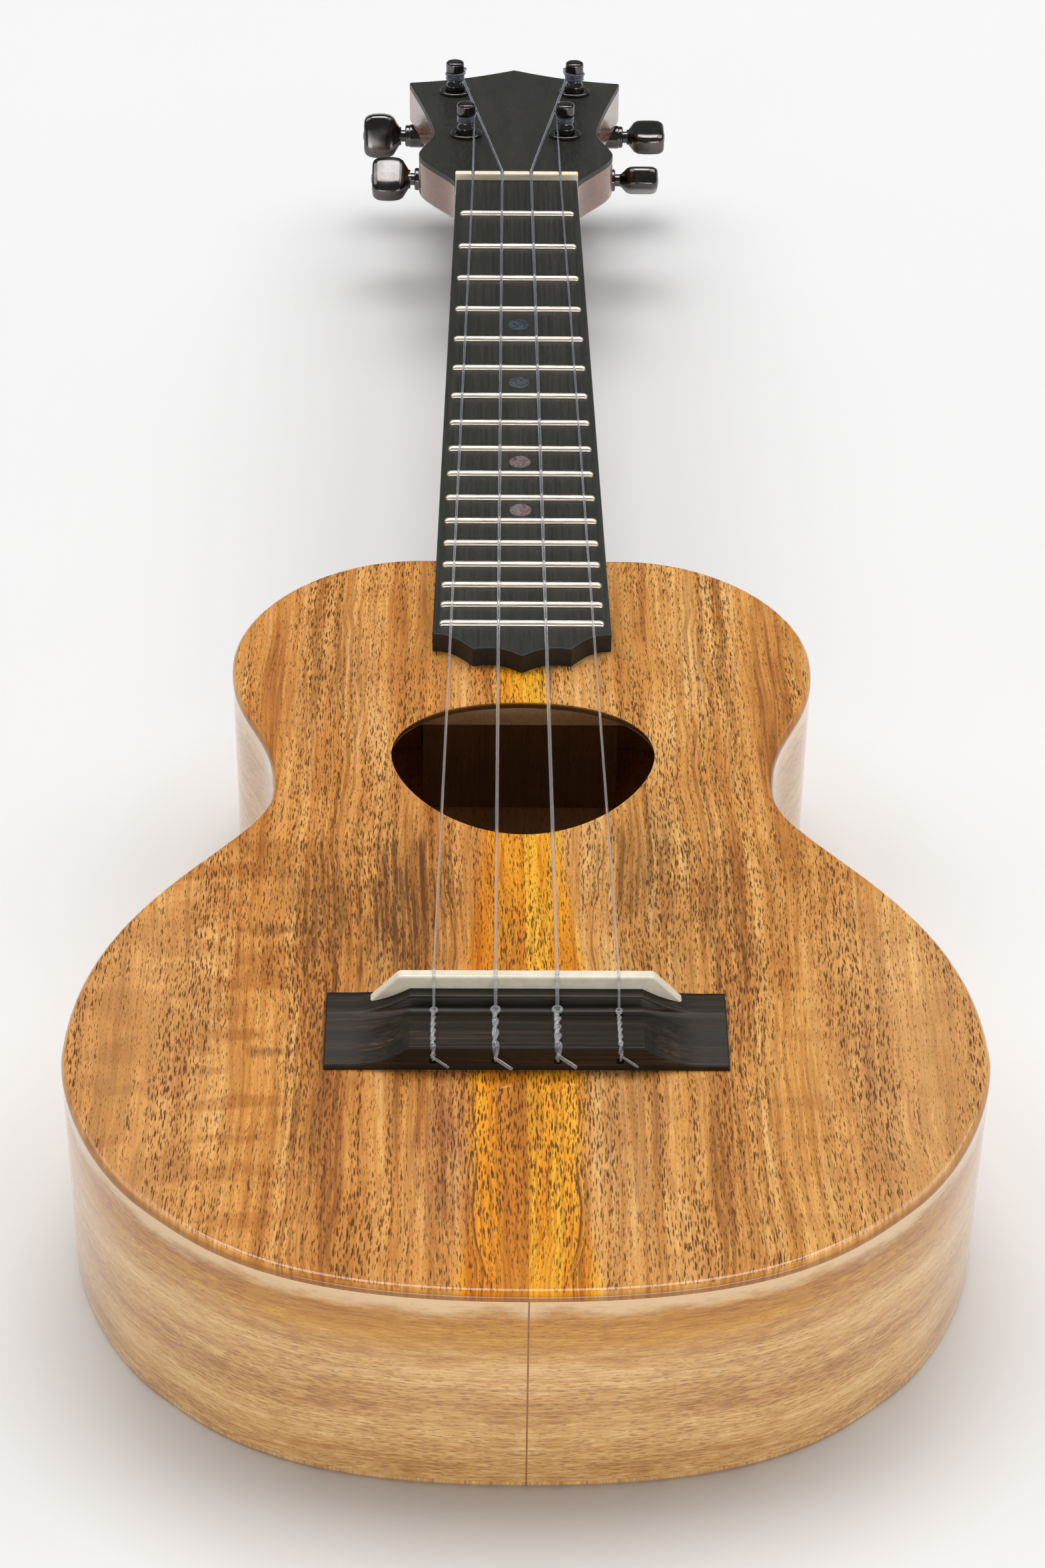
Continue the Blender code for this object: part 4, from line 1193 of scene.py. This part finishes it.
def bridge_z(x, back):
    """Height of the bridge's top: a raised centre that scoops down to thin wings."""
    middle, wing = profile_at(back)
    t = min(max((abs(x) - BLOCK_HALF) / SCOOP, 0.0), 1.0)
    return TOP_Z + wing + (middle - wing) * (1 - t) ** 2


def edge_drop(distance, radius=0.4):
    """How far a rounded edge falls below its surface, at a distance in from the edge."""
    gone = max(radius - distance, 0.0)
    return radius - math.sqrt(radius**2 - gone**2)


def tie_hole_point(x, t):
    """A point on a string hole's axis: t = 0 in the groove behind the saddle, t = 1 past the back face."""
    front = Vector((x, BRIDGE_HIGH.y - 8.4, TOP_Z + TIE_HOLE_FRONT))
    back = Vector((x, BRIDGE_LOW.y - 1.0, TOP_Z + TIE_HOLE_BACK))
    return front.lerp(back, t)


def make_bridge():
    """The bridge's block, groove and wings, with four string holes through the block."""
    near_edge = (0.0, 0.06, 0.16, 0.28, 0.42)
    across = [BRIDGE_HALF - d for d in near_edge]
    across += [BLOCK_HALF + SCOOP * i / 12 for i in range(13)] + [BLOCK_HALF - 0.4, 18.0, 9.0]
    xs = sorted({-x for x in across} | {0.0} | set(across))
    backs = sorted({row[0] for row in PROFILE_ROWS} | set(near_edge) | {BRIDGE_LONG - d for d in near_edge})
    backs = [b for i, b in enumerate(backs) if i == 0 or b - backs[i - 1] > 0.01]
    bm = bmesh.new()
    top, under = [], []
    for back in backs:
        y = BRIDGE_HIGH.y - back
        row = []
        for x in xs:
            inside = min(BRIDGE_HALF - abs(x), back, BRIDGE_LONG - back)
            row.append(bm.verts.new((x, y, bridge_z(x, back) - edge_drop(inside))))
        top.append(row)
        under.append([bm.verts.new((x, y, TOP_Z)) for x in xs])
    rows, columns = len(top), len(xs)
    for r in range(rows - 1):
        for c in range(columns - 1):
            bm.faces.new((top[r][c], top[r][c + 1], top[r + 1][c + 1], top[r + 1][c]))
            bm.faces.new((under[r][c], under[r + 1][c], under[r + 1][c + 1], under[r][c + 1]))
        for c in (0, columns - 1):
            bm.faces.new((top[r][c], top[r + 1][c], under[r + 1][c], under[r][c]))
    for r in (0, rows - 1):
        for c in range(columns - 1):
            bm.faces.new((top[r][c], top[r][c + 1], under[r][c + 1], under[r][c]))
    for place, _ in STRINGS.values():
        bore = tube([tie_hole_point(saddle_x(place), t) for t in (0.0, 0.5, 1.2)], TIE_HOLE_R, 20)
        bm = combine(bm, bore, "DIFFERENCE")
    piece("tie_bridge", bm, BRIDGE_WOOD, ["bridge"], sharp=30.0)


def make_saddle():
    """A tall thin plate with chamfered tips and softened edges, standing in the bridge."""
    tip, floor, top = SADDLE_HIGH.x, SADDLE_LOW.z, SADDLE_HIGH.z
    shoulder = TOP_Z + SADDLE_SHOULDER
    right = [(tip, floor), (tip, shoulder), (SADDLE_FLAT, top)]
    plan = soften(mirrored(right[:1]) + right + mirrored(right[1:])[::-1], 0.7, closed=True)
    plate = slab(plan, -SADDLE_THICK / 2, SADDLE_THICK / 2, 0.55, 0.55, 5)
    stand = Matrix.Translation((0.0, SADDLE_Y, 0.0)) @ Matrix.Rotation(math.pi / 2, 4, "X")
    piece("saddle_plate", plate, BONE, ["saddle"], place=stand)


def post_of(place):
    """Name, side and place of a string's post: the two outer strings go to the near posts."""
    hand, side = ("left", -1) if place < 2 else ("right", 1)
    row, (x, along) = ("near", NEAR_POST) if place in (0, 3) else ("far", FAR_POST)
    return f"{row}_{hand}", side, x, along


def string_path(place, radius):
    """A string from inside the bridge, over the saddle and the nut, to the waist of its post."""
    _, side, post_x, along = post_of(place)
    saddle_z = SADDLE_HIGH.z + radius
    nut_z = NUT_SLOT_Z + radius
    end = head_frame(side * (post_x - waist_radius(WIND_START) - radius), along, -WIND_START).translation
    over_saddle = [(-1.25, -0.42), (-0.8, -0.05), (0.2, 0.0), (1.0, -0.01)]
    over_saddle = [(saddle_x(place), SADDLE_Y + dy, saddle_z + dz) for dy, dz in over_saddle]
    over_nut = [(0.0, 0.0), (1.6, -0.05), (NUT_THICK, -1.0)]
    over_nut = [(nut_x(place), NUT_Y + dy, nut_z + dz) for dy, dz in over_nut]
    inside, front = (tuple(tie_hole_point(saddle_x(place), t)) for t in (0.55, 0.10))
    path = soften([inside, front, over_saddle[0]], 1.0, 5)[:-1]
    return path + smooth_row(over_saddle, 3) + smooth_row(over_nut, 4) + [end]


def waist_radius(z):
    """Radius of a string post by height above the headstock's face."""
    for (r0, z0), (r1, z1) in zip(POST_PROFILE, POST_PROFILE[1:]):
        if z0 <= z <= z1:
            return r0 + (r1 - r0) * (z - z0) / max(z1 - z0, 1e-6)
    return POST_R


def make_winding(note, place, radius):
    """Turns of string round the post, from where the string arrives up to the hole through the post."""
    name, side, post_x, along = post_of(place)
    turns, steps = 3, 34
    # the left posts turn away from their strings, so their first turn starts a little inside the string
    early = 2 if side < 0 else 0
    path = []
    for i in range(-early, turns * steps + 1):
        t = i / steps
        z = WIND_START + max(t, 0.0) * 2.05 * radius
        r = waist_radius(z) + radius
        # the string arrives on the inner side, moving towards the tip
        angle = math.tau * t * side
        path.append(Vector((-side * r * math.cos(angle), side * r * math.sin(angle), z)))
    last = path[-1]
    lift = last + (last - path[-2]).normalized() * 0.7 + Vector((0, 0, 0.5))
    entry = Vector((-side * (POST_R + 0.4), 0.35, STRING_HOLE_Z - 0.3))
    hole = Vector((-side * (POST_R - 0.4), 0.0, STRING_HOLE_Z))
    coil = tube(path[:-1] + smooth_row([last, lift, entry, hole], 5), radius, 12)
    place = head_frame(side * post_x, along)
    piece(f"winding_{note}", coil, STRING, body=f"post_{name}", place=place, flat=False)


def twisted(spine, radius, turns):
    """Two strands wound round each other along `spine`."""
    strands = []
    across = Vector((1.0, 0.0, 0.0))
    spread = radius * 1.02
    for phase in (0.0, math.pi):
        strand = []
        for i, point in enumerate(spine):
            forward = (spine[min(i + 1, len(spine) - 1)] - spine[max(i - 1, 0)]).normalized()
            angle = phase + math.tau * turns * i / (len(spine) - 1)
            out = across * math.cos(angle) + forward.cross(across) * math.sin(angle)
            strand.append(point + out * spread)
        strands.append(strand)
    return strands


def make_knot(note, place, radius):
    """The tie: back over the block from the hole, round the string, then twisted on itself to a cut tail."""
    x = saddle_x(place)
    lift = radius * 1.9
    front, back_end, steps = 10.4, BRIDGE_LONG - 0.6, 8
    spine = []
    for i in range(steps + 1):
        back = front + (back_end - front) * i / steps
        spine.append(Vector((x, BRIDGE_HIGH.y - back, bridge_z(x, back) + lift)))
    spine.append(Vector((x, BRIDGE_LOW.y - lift * 0.75, TOP_Z + 6.1)))
    spine.append(Vector((x, BRIDGE_LOW.y - lift, TOP_Z + 4.9)))
    spine = smooth_row(spine, 8)
    out, home = twisted(spine, radius, KNOT_TURNS[note])
    # the loop round the string in front of the block
    loop = []
    reach = radius * 2.1
    middle_y = tie_hole_point(x, 0.10).y + 0.2
    for i in range(9):
        angle = math.pi * i / 8
        ahead, up = reach * 0.9 * math.sin(angle), 0.15 + 0.5 * radius * math.sin(angle)
        loop.append(Vector((x + reach * math.cos(angle), middle_y + ahead, spine[0].z + up)))
    hole_y, hole_z = BRIDGE_LOW.y, TOP_Z + TIE_HOLE_BACK + 0.25
    from_hole = [Vector((x, hole_y + 2.2, hole_z + 0.6)), Vector((x, hole_y - lift * 0.5, hole_z + 0.5))]
    tail = [home[-1] + Vector(way) for way in ((0.45, -0.35, -0.35), (1.9, -0.9, -1.1), (3.9, -1.5, -2.3))]
    path = from_hole + out[::-1][2:] + loop + home + smooth_row(tail, 3)
    piece(f"knot_{note}", tube(path, radius, 12), STRING, flat=False)


def make_strings():
    for note, (place, radius) in STRINGS.items():
        run = tube(string_path(place, radius), radius, 16)
        piece(f"string_run_{note}", run, STRING, [f"string_{note}"], flat=False)
        make_winding(note, place, radius)
        make_knot(note, place, radius)


# ---------------------------------------------------------------- tuners


def gear_outline():
    """The worm wheel's outline, with a gap between two teeth facing the worm."""
    flank = ((-6.7, WHEEL_ROOT_R), (-3.6, WHEEL_R - 0.15), (-2.6, WHEEL_R))
    points = []
    for tooth in range(TEETH):
        middle = math.pi / 2 + math.tau * (tooth + 0.5) / TEETH
        for turn, radius in flank + tuple(mirrored(flank)[::-1]):
            angle = middle + math.radians(turn)
            points.append((radius * math.cos(angle), radius * math.sin(angle)))
    return points


def make_post(name, x, along):
    """The string post with its worm wheel, turning about the headstock's normal."""
    foot = -WORM_DEPTH - WHEEL_THICK / 2
    shaft = [(2.0, foot - 1.4), (2.0, foot + 0.4), (POST_R, foot + 0.6)]
    post = turned(shaft + list(POST_PROFILE), 40)
    wheel = slab(gear_outline(), foot, foot + WHEEL_THICK, 0.12, 0.12, 2)
    post = combine(post, wheel, "UNION")
    hole = tube([(-5, 0, STRING_HOLE_Z), (0, 0, STRING_HOLE_Z), (5, 0, STRING_HOLE_Z)], 0.7, 18)
    post = combine(post, hole, "DIFFERENCE")
    piece(
        f"string_post_{name}", post, DARK_CHROME, [f"post_{name}"],
        body=f"post_{name}", place=head_frame(x, along), sharp=30.0,
    )


def worm_radius(station, angle):
    """Radius of the worm and its shaft: one thread, with a groove facing the wheel's middle tooth gap."""
    if abs(station) > WORM_HALF:
        return SHAFT_R if station > 0 else WORM_TIP_R
    phase = station / WORM_LEAD - (angle + math.pi) / math.tau
    ridge = (0.5 + 0.5 * math.cos(math.tau * phase)) ** 2
    fade = min(1.0, (WORM_HALF - abs(station)) / 0.5)
    return WORM_CORE_R + (WORM_CREST_R - WORM_CORE_R) * ridge * fade


def make_worm(name, side, x, along):
    """The worm and its shaft, turning about the shaft's own axis across the headstock."""
    sides, steps = 32, 64
    stations = [-WORM_HALF - 0.9, -WORM_HALF - 0.1]
    stations += [-WORM_HALF + 2 * WORM_HALF * i / steps for i in range(steps + 1)]
    stations += [WORM_HALF + 0.1, BUTTON_X[0] + 1.5]
    sections = []
    for station in stations:
        ring = []
        for angle in (math.tau * i / sides for i in range(sides)):
            r = worm_radius(station, angle)
            ring.append((side * station, r * math.cos(angle), r * math.sin(angle)))
        sections.append(ring)
    piece(
        f"worm_shaft_{name}", loft(sections), DARK_CHROME, [f"worm_{name}"],
        body=f"worm_{name}", place=worm_frame(x, along), sharp=45.0,
    )


def rounded_sign(value):
    """A cosine or sine, pushed outwards so that a circle becomes an oblong with soft corners."""
    return math.copysign(abs(value) ** 0.55, value)


def make_button(name, side, x, along):
    """An oblong button with softened corners and a neck towards the shaft, held by a slotted screw."""
    inner, outer = BUTTON_X
    turn = math.radians(BUTTON_TURNS[name])
    sides = 48
    sections = []
    for t, swell in BUTTON_SHAPE:
        ring = []
        for angle in (math.tau * i / sides for i in range(sides)):
            wide = BUTTON_WIDE / 2 * swell * rounded_sign(math.cos(angle))
            thick = BUTTON_THICK / 2 * min(1.0, swell + 0.06) * rounded_sign(math.sin(angle))
            y = wide * math.cos(turn) - thick * math.sin(turn)
            z = wide * math.sin(turn) + thick * math.cos(turn)
            ring.append((side * (inner + (outer - inner) * t), y, z))
        sections.append(ring)
    body, place = f"worm_{name}", worm_frame(x, along)
    piece(f"button_{name}", loft(sections), DARK_CHROME, body=body, place=place, sharp=50.0)
    screw, face = screw_head(1.5, 0.35, 1), place @ sideways(side, outer)
    piece(f"button_screw_{name}", screw, SCREW_METAL, body=body, place=face)


def screw_head(radius, tall, slots):
    """A low domed screw head about Z with one slot, or two crossed ones."""
    dome = [(radius, -0.4), (radius, tall * 0.3)]
    for i in range(1, 6):
        turn = math.pi / 2 * i / 6
        dome.append((radius * math.cos(turn) ** 0.6, tall * (0.3 + 0.7 * math.sin(turn))))
    head = turned(dome, 32)
    reach, half = radius * 0.7, 0.16
    for i in range(slots):
        bar = slab(box_plan(-reach, reach, -half, half), tall * 0.35, tall + 1.0)
        head = combine(head, placed(bar, Matrix.Rotation(math.pi / 2 * i, 4, "Z")), "DIFFERENCE")
    return head


def make_housing(name, side, x, along):
    """A tray under the headstock around the wheel and the worm, with a collar for the shaft."""
    (x0, x1), (y0, y1) = HOUSING_X, HOUSING_Y
    plan = mirrored(soften(box_plan(x0, x1, y0, y1), 2.6, 6, closed=True), side)
    shell = slab(plan, -HOUSING_TALL, 0.0, 1.0, 0.0, 5)
    collar_start = x1 - 1.5
    lie = sideways(side, collar_start, WORM_OFFSET, HEAD_THICK - WORM_DEPTH)
    reach = COLLAR_END - collar_start
    lip = COLLAR_R - 0.25
    collar = [(COLLAR_R, 0.0), (COLLAR_R, reach - 1.6), (lip, reach - 1.4), (lip, reach - 0.3)]
    collar = turned(soften(collar + [(COLLAR_R - 0.6, reach)], 0.2, 2))
    shell = combine(shell, placed(collar, lie), "UNION")
    hollow = slab(inset(plan, HOUSING_WALL), -HOUSING_TALL + HOUSING_WALL, 3.0)
    shell = combine(shell, hollow, "DIFFERENCE")
    bore = turned([(SHAFT_R + 0.25, -6.0), (SHAFT_R + 0.25, reach + 2)], 32)
    shell = combine(shell, placed(bore, lie), "DIFFERENCE")
    place = head_frame(x, along, HEAD_THICK)
    piece(
        f"gear_cover_{name}", shell, DARK_CHROME, [f"housing_{name}"], place=place, sharp=32.0
    )
    margin = 2.6
    for number, y in enumerate((y0 + margin, y1 - margin), 1):
        down = Matrix.Translation((side * (x0 + margin), y, -HOUSING_TALL)) @ Matrix.Rotation(math.pi, 4, "X")
        screw = screw_head(1.3, 0.5, 2)
        piece(f"cover_screw_{name}_{number}", screw, SCREW_METAL, place=place @ down)


def make_bushing(name, x, along):
    """A flanged sleeve in the headstock that the post turns in."""
    outer, lip = BUSH_R - 0.02, 0.5
    profile = [(BUSH_BORE_R, -BUSH_DEEP), (outer, -BUSH_DEEP), (outer, 0.0)]
    profile += [(FLANGE_R, 0.0), (FLANGE_R, FLANGE_TALL - lip)]
    for turn in (math.pi / 2 * i / 5 for i in range(1, 6)):
        profile.append((FLANGE_R - lip * (1 - math.cos(turn)), FLANGE_TALL - lip * (1 - math.sin(turn))))
    profile += [(BUSH_BORE_R + 0.25, FLANGE_TALL), (BUSH_BORE_R, FLANGE_TALL - 0.25)]
    piece(
        f"sleeve_{name}", turned_ring(profile, 48), DARK_CHROME, [f"bushing_{name}"],
        place=head_frame(x, along), sharp=32.0,
    )


def make_tuners():
    for name, side, x, along in tuners():
        make_housing(name, side, x, along)
        make_bushing(name, x, along)
        make_post(name, x, along)
        make_worm(name, side, x, along)
        make_button(name, side, x, along)


# ---------------------------------------------------------------- stage


def make_floor():
    bm = bmesh.new()
    plan = box_plan(-FLOOR_HALF, FLOOR_HALF, -FLOOR_HALF, FLOOR_HALF)
    bm.faces.new([bm.verts.new((x, y, 0.0)) for x, y in plan])
    mesh = bpy.data.meshes.new("floor")
    bm.to_mesh(mesh)
    bm.free()
    mesh.materials.append(floor_paint())
    floor = bpy.data.objects.new("floor", mesh)
    bpy.context.scene.collection.objects.link(floor)


def soft_light(name, place, target, size, power):
    """A rectangular softbox at `place` in metres, facing `target`."""
    data = bpy.data.lights.new(name, "AREA")
    data.shape = "RECTANGLE"
    data.size, data.size_y = size
    data.energy = power
    light = bpy.data.objects.new(name, data)
    light.location = place
    light.rotation_euler = (Vector(target) - Vector(place)).to_track_quat("-Z", "Y").to_euler()
    bpy.context.scene.collection.objects.link(light)


def make_world():
    world = bpy.data.worlds.new("studio")
    world.use_nodes = True
    shader = world.node_tree.nodes["Background"]
    shader.inputs["Color"].default_value = (1.0, 1.0, 1.0, 1.0)
    shader.inputs["Strength"].default_value = WORLD_STRENGTH
    bpy.context.scene.world = world


def make_camera():
    """A long lens from above the tail, looking along the instrument to the headstock."""
    data = bpy.data.cameras.new("camera")
    data.sensor_width = 36.0
    data.lens = CAMERA_LENS
    data.clip_end = 50.0
    camera = bpy.data.objects.new("camera", data)
    turn = Matrix.Rotation(-CAMERA_YAW, 4, "Z") @ Matrix.Rotation(math.pi / 2 - CAMERA_PITCH, 4, "X")
    turn = turn @ Matrix.Rotation(CAMERA_ROLL, 4, "Z")
    camera.matrix_world = Matrix.Translation(Vector(CAMERA_PLACE) * MM) @ turn
    bpy.context.scene.collection.objects.link(camera)
    bpy.context.scene.camera = camera


def make_stage():
    make_floor()
    make_world()
    for name, (place, target, size, power) in LIGHTS.items():
        soft_light(name, place, target, size, power)
    make_camera()
    settings = bpy.context.scene.view_settings
    settings.view_transform = "Standard"
    settings.look = "None"
    settings.exposure = 0.0


def main():
    make_stage()
    make_body()
    make_neck()
    make_fretboard()
    for number in range(1, FRETS + 1):
        make_fret(number)
    make_nut()
    make_bridge()
    make_saddle()
    make_strings()
    make_tuners()


main()
